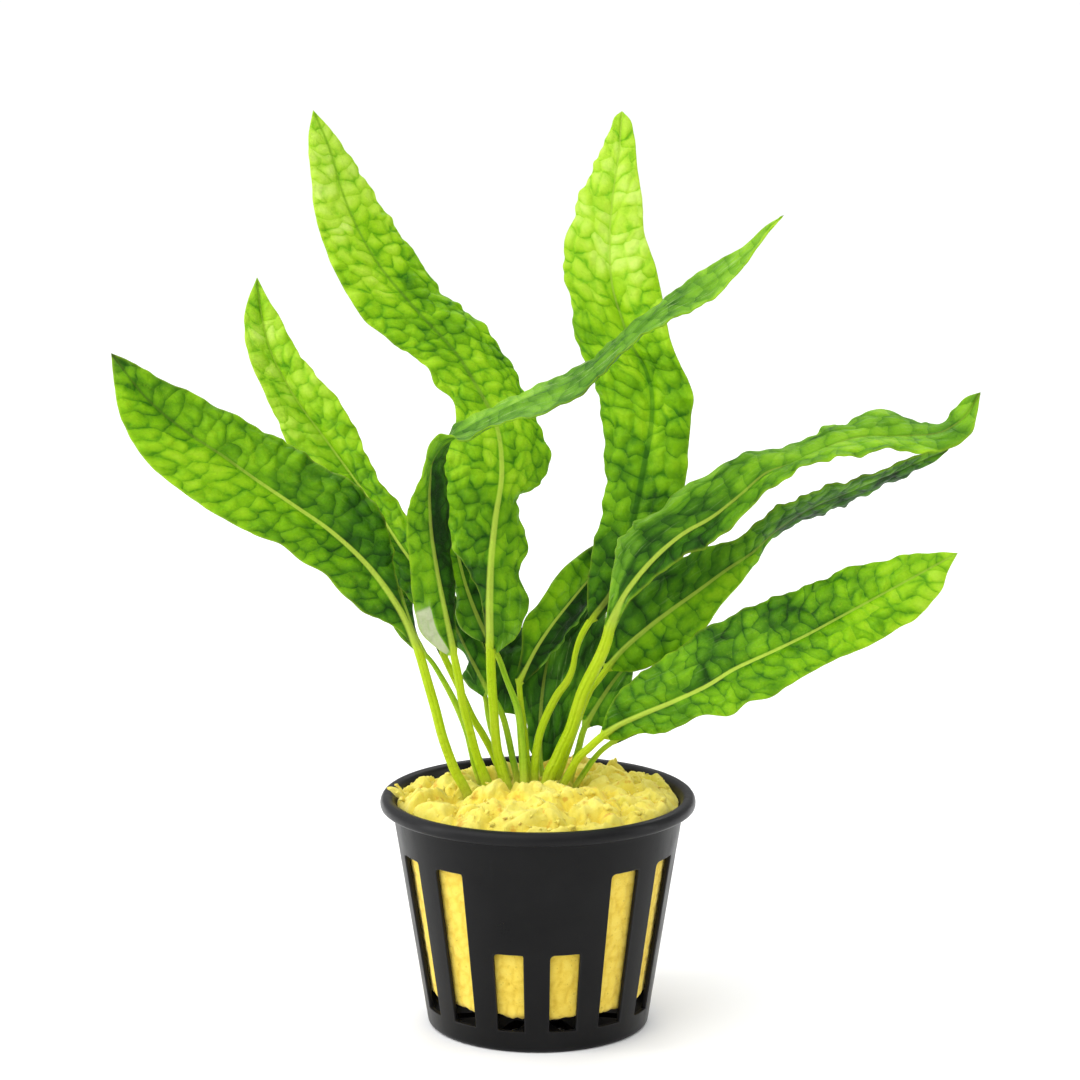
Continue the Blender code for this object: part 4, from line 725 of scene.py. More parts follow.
def build_leaf(g, p, wall, middle):
    look, x, half = g["look"], p["x"], p["half"]
    q, W, b = p["q"], p["W"], p["b"]
    blade = g["blade"][:, None]
    t = np.clip(g["t"], 0, 1)[:, None]
    run = np.broadcast_to(g["run"][:, None], q.shape)
    seed = g["index"] + 1
    # blisters
    r0, r1, r2 = look["relief"]
    high = np.interp(t[:, 0], [0, 0.35, 0.75, 1], [r0, r1, r1, r2])[:, None]
    wob = noise2(run / 1.5, b / 1.5, seed + 5)
    wall = wall + 0.22 * (wob - 0.5)
    pillow = ramp(wall, -0.10, 0.42) * (1 - 0.50 * ramp(middle, 0.42, 0.85))
    # some blisters run together, others stand higher
    pillow = pillow * (0.35 + 0.80 * noise2(run / 5.2, b / 4.4, seed + 17)) + 0.15
    fine = noise2(run / 0.9, b / 0.9, seed + 7) - 0.5
    wrinkle = noise2(run / 1.15, b / 2.3, seed + 9) - 0.5 + 0.6 * (noise2(run / 2.6, b / 1.2, seed + 10) - 0.5)
    d = np.abs(b)
    clear_rib = ramp(d, g["R"][:, None] * 0.8, g["R"][:, None] + 1.1)
    clear_edge = 0.35 + 0.65 * ramp((1 - q) * W, 0.1, 1.2)
    bump = high * (pillow - 0.45) * clear_rib * clear_edge + (0.20 * fine + 0.62 * wrinkle) * high * clear_rib * clear_edge
    # long creases that run beside the margin: a groove in the blade, and a painted shadow line in its colour
    amp, wave = look["ruffle"]
    phase = 3.0 * noise2(run / 9.0, np.sign(b) * 5.0, seed + 11) * 2 + np.where(b < 0, 0.0, 2.1)
    waves = np.sin(2 * np.pi * run / wave + phase) + 0.5 * np.sin(2 * np.pi * run / (wave * 0.43) + 2 * phase)
    ends = ramp(t, 0.02, 0.12) * (1 - ramp(t, 0.93, 1.0))
    ruffle = amp * waves * np.clip(q, 0, 1) ** 3 * np.minimum(1, W / 5.0) * ends
    # long creases that run beside the margin
    crease = np.zeros_like(q)
    for side, at, t0, t1, deep in look.get("creases", ()):
        line = at + 0.05 * (noise2(run / 5.0, run * 0 + side * 3.0, seed + 41) - 0.5) * 2
        on = ramp(t, t0, t0 + 0.05) * (1 - ramp(t, t1 - 0.05, t1))
        on = on * ramp(noise2(run / 6.5, run * 0 + at * 30.0, seed + 43), 0.18, 0.42)
        gap = (q - line) * W / 0.26
        crease = np.maximum(crease, deep * on * np.exp(-gap ** 2) * (b * side > 0))
    bump = bump - 0.55 * high * crease
    shift = (bump * ramp(t, 0.0, 0.05) * (1 - 0.8 * ramp(t, 0.97, 1.0)) + ruffle) * blade
    # the margin follows the blisters in and out
    rim_wall = np.concatenate([np.repeat(pillow[:, :1], half, 1), pillow[:, half:half + 1] * 0,
                               np.repeat(pillow[:, -1:], half, 1)], axis=1)
    k9 = np.hanning(13)[1:-1]
    k9 = k9 / k9.sum()
    for c in (0, half + 1):
        rim_wall[:, c] = np.convolve(np.pad(rim_wall[:, c], 5, mode="edge"), k9, "valid")
    rim_wall[:, :half] = rim_wall[:, :1]
    rim_wall[:, half + 1:] = rim_wall[:, half + 1:half + 2]
    scallop = 0.28 * (rim_wall - 0.6) * q ** 4 * ends * blade * np.minimum(1, W / 4.0)
    P = p["P"] + p["out"] * scallop[..., None] + p["n"] * shift[..., None]
    # thickness
    R = g["R"][:, None]
    edge = np.sqrt(np.clip(1 - (1 - np.clip((1 - q) * W / 0.22, 0, 1)) ** 2, 0, 1))
    tissue = (0.13 + 0.05 * pillow) * edge * blade
    round_rib = R * np.sqrt(np.clip(1 - (d / np.maximum(R, 1e-6)) ** 2, 0, 1))
    fillet = np.exp(-(d / (0.72 * R)) ** 2)
    top_high = np.interp(g["t"], [0, 0.15, 0.5, 1], [1.0, 0.75, 0.30, 0.05])[:, None] * R
    low_high = np.interp(g["t"], [0, 0.2, 1], [1.0, 1.0, 1.0])[:, None] * R
    top_rib = (1 - blade) * round_rib + blade * fillet * top_high
    low_rib = (1 - blade) * round_rib + blade * fillet * low_high
    top = np.maximum(tissue, 0) + top_rib * (1 - blade) + blade * np.maximum(top_rib - 0.0, 0) * edge
    low = np.maximum(tissue, 0) + low_rib * (1 - blade) + blade * np.maximum(low_rib - 0.0, 0) * edge
    # a fine groove along the rib towards the tip
    groove = 0.10 * np.exp(-(d / 0.28) ** 2) * ramp(t, 0.35, 0.6) * blade
    top = top - groove * np.minimum(1, (1 - q) * W / 0.3)
    top[:, 0] = top[:, -1] = 0
    low[:, 0] = low[:, -1] = 0
    A = P + p["n"] * top[..., None]
    B = P - p["n"] * low[..., None]
    K, C = q.shape
    ring = np.concatenate([A, B[:, C - 2:0:-1]], axis=1)
    n = ring.shape[1]
    verts = np.vstack([ring.reshape(-1, 3), g["m"][:1], g["tip"][None, :]])
    i = np.arange(n)
    j = (i + 1) % n
    rows = np.arange(K - 1)[:, None] * n
    quads = np.stack([rows + i, rows + j, rows + n + j, rows + n + i], axis=-1).reshape(-1, 4)
    c0 = K * n
    tri0 = np.stack([j, i, np.full(n, c0)], axis=-1)
    tri1 = np.stack([(K - 1) * n + i, (K - 1) * n + j, np.full(n, c0 + 1)], axis=-1)

    def spread(top_value, low_value=None):
        low_value = top_value if low_value is None else low_value
        v = np.concatenate([top_value, low_value[:, C - 2:0:-1]], axis=1).ravel()
        return np.concatenate([v, [v[0], v[-1]]])

    left_side = b < 0
    # the tissue's tint with the painted light and shade of each half, from the leaf's table
    tl = table(look["tone"], t[:, 0], 1)[:, None]
    tr = table(look["tone"], t[:, 0], 2)[:, None]
    k = ramp(b, -0.7, 0.7)
    tone = tl * (1 - k) + tr * k
    tone = tone + 0.18 * (noise2(run / 6.0, b / 5.0, seed + 21) - 0.5) + 0.10 * (noise2(run / 2.4, b / 2.0, seed + 23) - 0.5)
    pl = table(look["pale"], t[:, 0], 1)[:, None]
    pr = table(look["pale"], t[:, 0], 2)[:, None]
    pale = pl * (1 - k) + pr * k
    for side, q0, q1, t0, t1, skin, light in look.get("patches", ()):
        on = ramp(q, q0 - 0.07, q0 + 0.07) * (1 - ramp(q, q1 - 0.02, q1 + 0.06)) * (b * side > 0)
        on = on * ramp(t, t0 - 0.012, t0 + 0.012) * (1 - ramp(t, t1 - 0.012, t1 + 0.02))
        pale = pale * (1 - on) + skin * on
        tone = tone * (1 - on) + light * on
    margin = np.exp(-(((1 - q) * W) / 0.30) ** 2) * blade
    ribt = np.broadcast_to(table(look["rib"], t[:, 0], 1)[:, None], q.shape)
    stalk = np.broadcast_to(1 - ramp(g["run"], -1.5, 3.0)[:, None], q.shape)
    stalk = np.maximum(stalk, 0) * np.where(g["run"][:, None] > 0, 1 - ramp(d, 0.75 * R, 1.25 * R + 0.1), 1.0)
    one = np.ones_like(q)
    wallc = look["contrast"]
    if not np.isscalar(wallc):
        wallc = table(wallc, t[:, 0], 1)[:, None] * (1 - k) + table(wallc, t[:, 0], -1)[:, None] * k
    ribk = table(look.get("ribk", [(0, 1.0), (1, 1.0)]), t[:, 0], 1)[:, None] * one
    attrs = dict(
        tone=spread(tone), pale=spread(pale, np.clip(pale + 0.55, 0, 1)), margin=spread(margin * look["margin"]),
        rib=spread(R * (0.72 + 0.16 * (1 - t)) * ribk + 5.0 * (1 - ramp(g["run"], -0.6, 0.4))[:, None]), wob=spread(wob), ribtone=spread(ribt * one),
        stalk=spread(stalk * one), crease=spread(crease * one),
        wallc=spread(one * wallc), high=spread(np.broadcast_to(g["m"][:, 2:3], q.shape) * one))
    cells = leaf_coordinates(g, p)
    cx, cy = spread(cells[..., 0]), spread(cells[..., 1])
    ru, bb = spread(run * one), spread(b)
    vectors = dict(cells=np.stack([cx, cy, np.zeros_like(cx)], axis=1),
                   flat=np.stack([ru, bb, np.full_like(ru, seed * 7.0)], axis=1))
    return verts, quads, np.vstack([tri0, tri1]), attrs, vectors


def make_mesh(name, verts, quads, tris, attrs=None, vectors=None, smooth_shade=True):
    """A mesh object from arrays, in mm."""
    mesh = bpy.data.meshes.new(name)
    nq, nt = len(quads), len(tris)
    mesh.vertices.add(len(verts))
    mesh.vertices.foreach_set("co", (np.asarray(verts) * MM).astype(np.float32).ravel())
    loops = np.concatenate([np.asarray(quads, int).reshape(-1), np.asarray(tris, int).reshape(-1)])
    mesh.loops.add(len(loops))
    mesh.loops.foreach_set("vertex_index", loops.astype(np.int32))
    mesh.polygons.add(nq + nt)
    starts = np.concatenate([np.arange(nq) * 4, nq * 4 + np.arange(nt) * 3]).astype(np.int32)
    mesh.polygons.foreach_set("loop_start", starts)
    mesh.update(calc_edges=True)
    mesh.validate()
    for key, value in (attrs or {}).items():
        at = mesh.attributes.new(key, "FLOAT", "POINT")
        at.data.foreach_set("value", np.asarray(value, np.float32))
    for key, value in (vectors or {}).items():
        at = mesh.attributes.new(key, "FLOAT_VECTOR", "POINT")
        at.data.foreach_set("vector", np.asarray(value, np.float32).ravel())
    if smooth_shade:
        mesh.shade_smooth()
    ob = bpy.data.objects.new(name, mesh)
    bpy.context.scene.collection.objects.link(ob)
    return ob


def make_leaves():
    grids = [leaf_grid(i, name) for i, name in enumerate(LEAVES)]
    pts = [leaf_points(g) for g in grids]
    coords = [leaf_coordinates(g, p).reshape(-1, 2) for g, p in zip(grids, pts)]
    walls, middles = cell_walls(np.vstack(coords))
    bright = leaf_material("leaf_tissue", 0.30)
    # shaded copy of the tissue: its stalks are painted a darker green for shade
    shade = leaf_material("leaf_tissue_shade", 0.12)
    at = 0
    for g, p, c in zip(grids, pts, coords):
        wall = walls[at:at + len(c)].reshape(p["q"].shape)
        middle = middles[at:at + len(c)].reshape(p["q"].shape)
        at += len(c)
        verts, quads, tris, attrs, vectors = build_leaf(g, p, wall, middle)
        name = g["name"]
        ob = make_mesh(name + "_fine", verts, quads, tris, attrs, vectors)
        ob.data.materials.append(shade if name in SHADED else bright)
        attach(ob, "root")
        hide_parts(name)


# ================================================================ materials
def rgb(r, g, b):
    """A colour named as 0-255 screen values, as the shader wants it."""
    def lin(c):
        c /= 255.0
        return c / 12.92 if c <= 0.04045 else ((c + 0.055) / 1.055) ** 2.4
    return (lin(r), lin(g), lin(b), 1.0)


class Build:
    """Short forms for making a material's nodes."""

    def __init__(self, name):
        self.mat = bpy.data.materials.new(name)
        self.mat.use_nodes = True
        self.tree = self.mat.node_tree
        self.tree.nodes.clear()

    def node(self, kind, ins=None, **props):
        n = self.tree.nodes.new(kind)
        for key, value in props.items():
            setattr(n, key, value)
        for key, value in (ins or {}).items():
            self.put(n.inputs[key], value)
        return n

    def put(self, socket, value):
        if isinstance(value, bpy.types.NodeSocket):
            self.tree.links.new(value, socket)
        else:
            socket.default_value = value

    def mix(self, fac, a, b, blend="MIX"):
        n = self.node("ShaderNodeMix", data_type="RGBA", blend_type=blend)
        self.put(n.inputs[0], fac)
        self.put(n.inputs[6], a)
        self.put(n.inputs[7], b)
        return n.outputs[2]

    def math(self, op, a, b=0.0, c=0.0, clamp=False):
        n = self.node("ShaderNodeMath", operation=op, use_clamp=clamp)
        self.put(n.inputs[0], a)
        self.put(n.inputs[1], b)
        if op in ("MULTIPLY_ADD",):
            self.put(n.inputs[2], c)
        return n.outputs[0]

    def span(self, value, a, b, lo=0.0, hi=1.0):
        """A smooth step of value from a to b, mapped to lo to hi."""
        n = self.node("ShaderNodeMapRange", interpolation_type="SMOOTHSTEP")
        self.put(n.inputs[0], value)
        for k, v in zip((1, 2, 3, 4), (a, b, lo, hi)):
            n.inputs[k].default_value = v
        return n.outputs[0]

    def ramp(self, fac, stops):
        n = self.node("ShaderNodeValToRGB")
        self.put(n.inputs[0], fac)
        cr = n.color_ramp
        while len(cr.elements) > 1:
            cr.elements.remove(cr.elements[-1])
        cr.elements[0].position = stops[0][0]
        cr.elements[0].color = stops[0][1]
        for pos, col in stops[1:]:
            e = cr.elements.new(pos)
            e.color = col
        return n.outputs[0]

    def attr(self, name, out="Fac"):
        return self.node("ShaderNodeAttribute", attribute_name=name, attribute_type="GEOMETRY").outputs[out]

    def noise(self, vector, scale, detail=2.0, rough=0.5, stretch=None):
        if stretch is not None:
            vector = self.node("ShaderNodeMapping", {"Vector": vector, "Scale": stretch}).outputs[0]
        return self.node("ShaderNodeTexNoise", {"Vector": vector, "Scale": scale, "Detail": detail,
                                                "Roughness": rough}).outputs[0]

    def bump(self, height, strength, distance, normal=None):
        n = self.node("ShaderNodeBump", {"Height": height, "Strength": strength, "Distance": distance})
        if normal is not None:
            self.put(n.inputs["Normal"], normal)
        return n.outputs[0]


def leaf_material(name, through):
    b = Build(name)
    shade = "shade" in name
    cells, flat = b.attr("cells", "Vector"), b.attr("flat", "Vector")
    tone0 = b.attr("tone")
    wall = b.node("ShaderNodeTexVoronoi", {"Vector": cells, "Scale": 1.0, "Randomness": CELL_RANDOM},
                  voronoi_dimensions="2D", feature="DISTANCE_TO_EDGE").outputs["Distance"]
    wall = b.math("MULTIPLY_ADD", b.attr("wob"), 0.22, b.math("SUBTRACT", wall, 0.11))
    own = b.node("ShaderNodeTexVoronoi", {"Vector": cells, "Scale": 1.0, "Randomness": CELL_RANDOM},
                 voronoi_dimensions="2D", feature="F1")
    chance = b.node("ShaderNodeSeparateColor", {0: own.outputs["Color"]}).outputs[0]
    middle = own.outputs["Distance"]
    away = b.node("ShaderNodeVectorMath", {0: cells, 1: own.outputs["Position"]}, operation="SUBTRACT").outputs[0]
    ahead = b.node("ShaderNodeSeparateXYZ", {0: away}).outputs[0]
    small = b.node("ShaderNodeTexVoronoi", {"Vector": cells, "Scale": 2.7, "Randomness": 0.95},
                   voronoi_dimensions="2D", feature="DISTANCE_TO_EDGE").outputs["Distance"]
    blotch = b.noise(flat, 0.16, 3.0, 0.55)
    # brightness of the tissue: its tint with painted light and shade from the leaf's table, a random step for each
    # blister, some blotches, a painted highlight in each blister's middle and painted light on its side towards the
    # tip
    tone = b.math("MULTIPLY_ADD", chance, 0.16, b.math("MULTIPLY_ADD", tone0, 0.92, -0.075))
    tone = b.math("MULTIPLY_ADD", blotch, 0.24, b.math("SUBTRACT", tone, 0.12))
    # painted highlight: each blister lighter in its middle, darker towards its border
    dome_highlight_and_shade = b.span(middle, 0.05, 0.75, 0.06, -0.07)
    tone = b.math("ADD", tone, dome_highlight_and_shade)
    # painted light: each blister lighter on its side towards the tip, the upper side on an upright leaf
    tone = b.math("MULTIPLY_ADD", ahead, 0.10, tone, clamp=True)
    cell_col = b.ramp(tone, [(0.0, rgb(18, 56, 2)), (0.12, rgb(34, 86, 2)), (0.25, rgb(60, 118, 2)),
                             (0.40, rgb(98, 158, 3)), (0.55, rgb(132, 190, 6)), (0.70, rgb(162, 210, 24)),
                             (0.85, rgb(188, 224, 62)), (1.0, rgb(208, 234, 108))])
    # dark colour of the veins, also used for the painted shade of folds, creases and patches
    vein_and_shade_col = b.ramp(tone, [(0.0, rgb(8, 32, 1)), (0.12, rgb(16, 52, 1)), (0.25, rgb(30, 80, 1)),
                             (0.40, rgb(56, 118, 2)), (0.55, rgb(86, 152, 3)), (0.70, rgb(116, 180, 10)),
                             (0.85, rgb(146, 202, 30)), (1.0, rgb(176, 222, 68))])
    contrast = b.attr("wallc")
    # soft borders between the blisters, uneven along their length
    uneven = b.span(b.noise(flat, 0.42, 3.0, 0.6), 0.36, 0.64, 0.05, 1.10)
    soft = b.span(wall, -0.02, 0.26, 1.0, 0.0)
    core = b.span(wall, -0.02, 0.09, 1.0, 0.0)
    corner = b.span(middle, 0.46, 0.74)
    vein_and_shade = b.math("MULTIPLY_ADD", core, 0.30, b.math("MULTIPLY", soft, 0.46))
    vein_and_shade = b.math("MULTIPLY_ADD", corner, 0.24, vein_and_shade)
    # painted shade of short folds across the blisters
    fold = b.noise(flat, 1.0, 3.0, 0.6, stretch=(0.80, 0.34, 1.0))
    vein_and_shade = b.math("MULTIPLY_ADD", b.span(fold, 0.57, 0.70), 0.42, vein_and_shade)
    # the blister's far side throws a thin shade on its border
    lee = b.math("MULTIPLY", b.span(ahead, -0.08, -0.40), b.span(wall, 0.0, 0.17, 1.0, 0.0))
    vein_and_shade = b.math("MULTIPLY_ADD", lee, 0.55, vein_and_shade)
    vein_and_shade = b.math("MULTIPLY", b.math("MULTIPLY", vein_and_shade, uneven), contrast, clamp=True)
    # painted shadow line along the long creases
    vein_and_shade = b.math("MAXIMUM", vein_and_shade, b.math("MULTIPLY", b.attr("crease"), 0.85))
    # the veins and the painted shade laid over the tissue
    col = b.mix(vein_and_shade, cell_col, vein_and_shade_col)
    tiny = b.math("MULTIPLY", b.span(small, 0.0, 0.14, 1.0, 0.0), 0.14)
    col = b.mix(tiny, col, vein_and_shade_col)
    # dark patches where the tissue is in its own shade
    patchy = b.span(b.noise(flat, 0.36, 3.0, 0.6), 0.56, 0.72, 0.0, 0.50)
    col = b.mix(b.math("MULTIPLY", patchy, contrast), col, vein_and_shade_col)
    # fine yellow mottling
    mottle = b.span(b.noise(flat, 1.5, 4.0, 0.65), 0.52, 0.72, 0.0, 0.34)
    mottle = b.math("MULTIPLY", mottle, b.span(tone, 0.12, 0.45))
    col = b.mix(mottle, col, b.mix(0.42, cell_col, rgb(206, 236, 52)))
    # grey-green skin of the underside
    pale_col = b.ramp(tone, [(0.0, rgb(44, 84, 30)), (0.25, rgb(80, 132, 40)), (0.5, rgb(122, 176, 56)),
                             (0.75, rgb(158, 206, 80)), (1.0, rgb(200, 222, 150))])
    pale_vein_and_shade = b.mix(b.math("MULTIPLY", vein_and_shade, 0.55), pale_col, vein_and_shade_col)
    streak = b.noise(flat, 1.0, 3.0, 0.6, stretch=(0.35, 1.6, 1.0))
    pale = b.math("MULTIPLY", b.attr("pale"), b.span(streak, 0.30, 0.66, 0.45, 1.10), clamp=True)
    col = b.mix(pale, col, pale_vein_and_shade)
    # painted highlight: thin pale glints along the folds of that skin
    glint = b.noise(flat, 1.0, 4.0, 0.65, stretch=(0.16, 2.4, 1.0))
    glint = b.math("MULTIPLY", b.span(glint, 0.56, 0.70), b.math("MULTIPLY", b.attr("pale"), 0.75), clamp=True)
    col = b.mix(glint, col, rgb(186, 216, 138))
    # dry whitish skin on a turned-over flap
    col = b.mix(b.math("MULTIPLY", b.span(b.attr("pale"), 1.05, 1.45), b.span(streak, 0.2, 0.6, 0.65, 1.0)),
                col, rgb(218, 222, 190))
    # margin
    margin_col = b.mix(0.50, cell_col, rgb(200, 232, 60))
    col = b.mix(b.attr("margin"), col, margin_col)
    # midrib: a line as wide as the rib, with a thin dark border
    across = b.math("ABSOLUTE", b.node("ShaderNodeSeparateXYZ", {0: flat}).outputs[1])
    share = b.math("DIVIDE", across, b.math("MAXIMUM", b.attr("rib"), 0.16))
    has_rib = b.span(b.attr("rib"), 0.01, 0.07)
    rib_mask = b.math("MULTIPLY", b.span(share, 0.75, 1.35, 1.0, 0.0), has_rib)
    border = b.math("MULTIPLY", b.span(share, 1.1, 2.6, 0.40, 0.0), b.math("SUBTRACT", 1.0, b.attr("stalk")))
    border = b.math("MULTIPLY", border, has_rib)
    col = b.mix(border, col, vein_and_shade_col)
    # the rib dark where it lies sunken: partly its own colour, partly painted shade
    rib_dark_and_shaded = b.mix(0.25, vein_and_shade_col, rgb(10, 38, 2))
    rib_pale = b.mix(0.08, rgb(208, 234, 84), cell_col)
    rib_col = b.mix(b.attr("ribtone"), rib_dark_and_shaded, rib_pale)
    col = b.mix(b.math("MULTIPLY", rib_mask, 0.95), col, rib_col)
    # stalk: fresh yellow-green with fine lengthwise streaks, paler where it leaves the medium
    lines = b.noise(flat, 1.0, 4.0, 0.6, stretch=(0.10, 3.2, 1.0))
    patch = b.noise(flat, 0.12, 2.0)
    # painted shade: darker green stalks on the shaded copy
    if shade:
        stalk_col = b.ramp(lines, [(0.25, rgb(112, 160, 18)), (0.5, rgb(146, 190, 34)), (0.75, rgb(168, 206, 52))])
    else:
        stalk_col = b.ramp(lines, [(0.25, rgb(172, 210, 12)), (0.5, rgb(192, 222, 26)), (0.75, rgb(208, 232, 54))])
    stalk_col = b.mix(b.span(patch, 0.4, 0.7, 0.0, 0.35), stalk_col, rgb(212, 226, 56))
    height = b.attr("high")
    foot = b.span(height, 41.5, 46.0, 0.65, 0.0)
    stalk_col = b.mix(foot, stalk_col, rgb(214, 212, 84))
    col = b.mix(b.attr("stalk"), col, stalk_col)
    # gloss and fine skin
    grain = b.noise(flat, 3.2, 4.0, 0.62)
    rough = b.span(b.noise(flat, 0.7, 3.0), 0.3, 0.7, 0.34, 0.54)
    skin = b.math("MULTIPLY_ADD", b.span(small, 0.0, 0.16), 0.8, grain)
    normal = b.bump(skin, 0.30, 0.00010)
    normal = b.bump(b.span(wall, 0.0, 0.16), 0.25, 0.00012, normal)
    crumple = b.noise(flat, 0.85, 4.0, 0.58)
    normal = b.bump(crumple, 0.8, 0.00050, normal)
    shader = b.node("ShaderNodeBsdfPrincipled", {"Base Color": col, "Roughness": rough, "Normal": normal})
    shader.inputs["Specular IOR Level"].default_value = 0.13
    glow = b.node("ShaderNodeBsdfTranslucent", {"Color": b.mix(0.5, col, cell_col), "Normal": normal})
    both = b.node("ShaderNodeMixShader", {0: through, 1: shader.outputs[0], 2: glow.outputs[0]})
    b.node("ShaderNodeOutputMaterial", {"Surface": both.outputs[0]})
    return b.mat


def medium_material(name, crumbs=False):
    b = Build(name)
    where = b.attr("place", "Vector")
    deep, side = b.attr("deep"), b.attr("side")
    big = b.noise(where, 0.22, 3.0, 0.6)
    mid = b.noise(where, 0.9, 4.0, 0.65)
    fine = b.noise(where, 3.0, 4.0, 0.7)
    level = b.math("MULTIPLY_ADD", mid, 0.34, b.math("MULTIPLY", fine, 0.24))
    level = b.math("MULTIPLY_ADD", big, 0.34, b.math("ADD", level, 0.10))
    # painted shade: darker and more orange where the wool lies deep in its crevices and pits
    level = b.math("SUBTRACT", level, b.math("MULTIPLY", deep, 0.34), clamp=True)
    top_col = b.ramp(level, [(0.0, rgb(206, 156, 34)), (0.12, rgb(222, 184, 50)), (0.26, rgb(230, 204, 66)),
                             (0.42, rgb(236, 218, 86)), (0.60, rgb(241, 228, 114)), (1.0, rgb(247, 240, 160))])
    # painted shade: greener olive round the stalks under the leaves, duller towards the wall
    xyz = b.node("ShaderNodeSeparateXYZ", {0: where})
    spread = b.math("SQRT", b.math("ADD", b.math("MULTIPLY", xyz.outputs[0], xyz.outputs[0]),
                                   b.math("MULTIPLY", xyz.outputs[1], xyz.outputs[1])))
    top_col = b.mix(b.math("MULTIPLY", b.span(spread, 12.0, 23.0), 0.35), top_col, rgb(214, 198, 78))
    top_col = b.mix(b.attr("near"), top_col, rgb(170, 170, 40))
    side_col = b.ramp(level, [(0.0, rgb(190, 148, 30)), (0.20, rgb(222, 186, 56)), (0.45, rgb(240, 210, 80)),
                              (0.70, rgb(246, 222, 100)), (1.0, rgb(250, 232, 130))])
    col = b.mix(side, top_col, side_col)
    # brown and green specks, more of them where the plug is seen through the slots
    speck = b.noise(where, 1.7, 3.0, 0.6)
    grit = b.noise(where, 4.2, 3.0, 0.6)
    more = b.math("MULTIPLY", side, 0.12)
    mask = b.span(b.math("ADD", speck, more), 0.75, 0.84)
    col = b.mix(b.math("MULTIPLY", mask, 0.55), col, rgb(176, 146, 34))
    mask = b.span(b.math("ADD", grit, b.math("MULTIPLY", side, 0.08)), 0.77, 0.83)
    col = b.mix(b.math("MULTIPLY", mask, 0.50), col, rgb(136, 118, 30))
    damp = b.span(b.noise(where, 0.30, 2.0), 0.52, 0.75, 0.0, 0.40)
    col = b.mix(b.math("MULTIPLY", damp, b.math("SUBTRACT", 1.0, side)), col, rgb(204, 198, 46))
    rust = b.math("MULTIPLY", b.span(b.noise(where, 0.42, 3.0, 0.6), 0.58, 0.72, 0.0, 0.6),
                  b.math("SUBTRACT", 1.0, side))
    col = b.mix(rust, col, rgb(206, 140, 34))
    fibres = b.noise(where, 1.0, 4.0, 0.7, stretch=(1.2, 1.2, 5.5))
    rough_h = b.math("MULTIPLY_ADD", fibres, 0.5, b.math("MULTIPLY_ADD", fine, 0.8, mid))
    normal = b.bump(rough_h, 0.60, 0.00030)
    shader = b.node("ShaderNodeBsdfPrincipled", {"Base Color": col, "Normal": normal,
                                                 "Roughness": b.span(mid, 0.3, 0.7, 0.82, 0.97)})
    shader.inputs["Specular IOR Level"].default_value = 0.25
    shader.inputs["Sheen Weight"].default_value = 0.15
    b.node("ShaderNodeOutputMaterial", {"Surface": shader.outputs[0]})
    return b.mat


def pot_material(name):
    b = Build(name)
    where = b.attr("place", "Vector")
    cloud = b.noise(where, 0.10, 4.0, 0.6)
    grain = b.noise(where, 6.0, 3.0, 0.6)
    rub = b.noise(where, 1.0, 4.0, 0.65, stretch=(0.5, 0.5, 0.10))
    col = b.ramp(cloud, [(0.3, rgb(11, 11, 12)), (0.7, rgb(18, 18, 19))])
    col = b.mix(b.span(rub, 0.62, 0.80, 0.0, 0.30), col, rgb(34, 34, 36))
    # edges lighter, and far lighter towards the left and right flanks: a painted highlight where the side lights
    # catch the rim
    edge_lightening = b.attr("edge")
    sideways = b.math("ABSOLUTE", b.node("ShaderNodeSeparateXYZ", {0: where}).outputs[0])
    flank_highlight = b.math("POWER", b.math("DIVIDE", sideways, 27.5), 4.0)
    edge_lightening = b.math("MULTIPLY", edge_lightening, b.math("MULTIPLY_ADD", flank_highlight, 0.50, 0.10))
    col = b.mix(edge_lightening, col, rgb(74, 74, 76))
    rough = b.math("MULTIPLY_ADD", b.span(cloud, 0.3, 0.7), 0.08, b.span(rub, 0.4, 0.75, 0.27, 0.36))
    height = b.math("MULTIPLY_ADD", b.noise(where, 1.3, 2.0), 0.5, grain)
    normal = b.bump(height, 0.25, 0.00004)
    shader = b.node("ShaderNodeBsdfPrincipled", {"Base Color": col, "Roughness": rough, "Normal": normal})
    shader.inputs["Specular IOR Level"].default_value = 0.14
    b.node("ShaderNodeOutputMaterial", {"Surface": shader.outputs[0]})
    return b.mat


# ================================================================ planting medium
def wall_radius(z):
    return WALL_BASE_RADIUS + (WALL_TOP_RADIUS - WALL_BASE_RADIUS) * z / (POT_HEIGHT - 2.6)


def nearest_two(x, y, size, seed):
    """Distances to the two nearest points of a scattered grid, in cells, with the nearest
    one's own chance number and the place within its cell."""
    u, v = x / size, y / size
    i, j = np.floor(u).astype(int), np.floor(v).astype(int)
    rng_x = np.random.default_rng(seed).random((128, 128))
    rng_y = np.random.default_rng(seed + 1).random((128, 128))
    rng_c = np.random.default_rng(seed + 2).random((128, 128))
    best = np.full(u.shape, 9.0)
    second = np.full(u.shape, 9.0)
    chance, du, dv = np.zeros(u.shape), np.zeros(u.shape), np.zeros(u.shape)
    for di in (-1, 0, 1):
        for dj in (-1, 0, 1):
            a, c = (i + di) % 128, (j + dj) % 128
            px = i + di + 0.1 + 0.8 * rng_x[a, c]
            py = j + dj + 0.1 + 0.8 * rng_y[a, c]
            d = np.hypot(u - px, v - py)
            near = d < best
            second = np.minimum(second, np.maximum(best, d))
            best = np.minimum(best, d)
            chance = np.where(near, rng_c[a, c], chance)
            du, dv = np.where(near, u - px, du), np.where(near, v - py, dv)
    return best, second, chance, du, dv


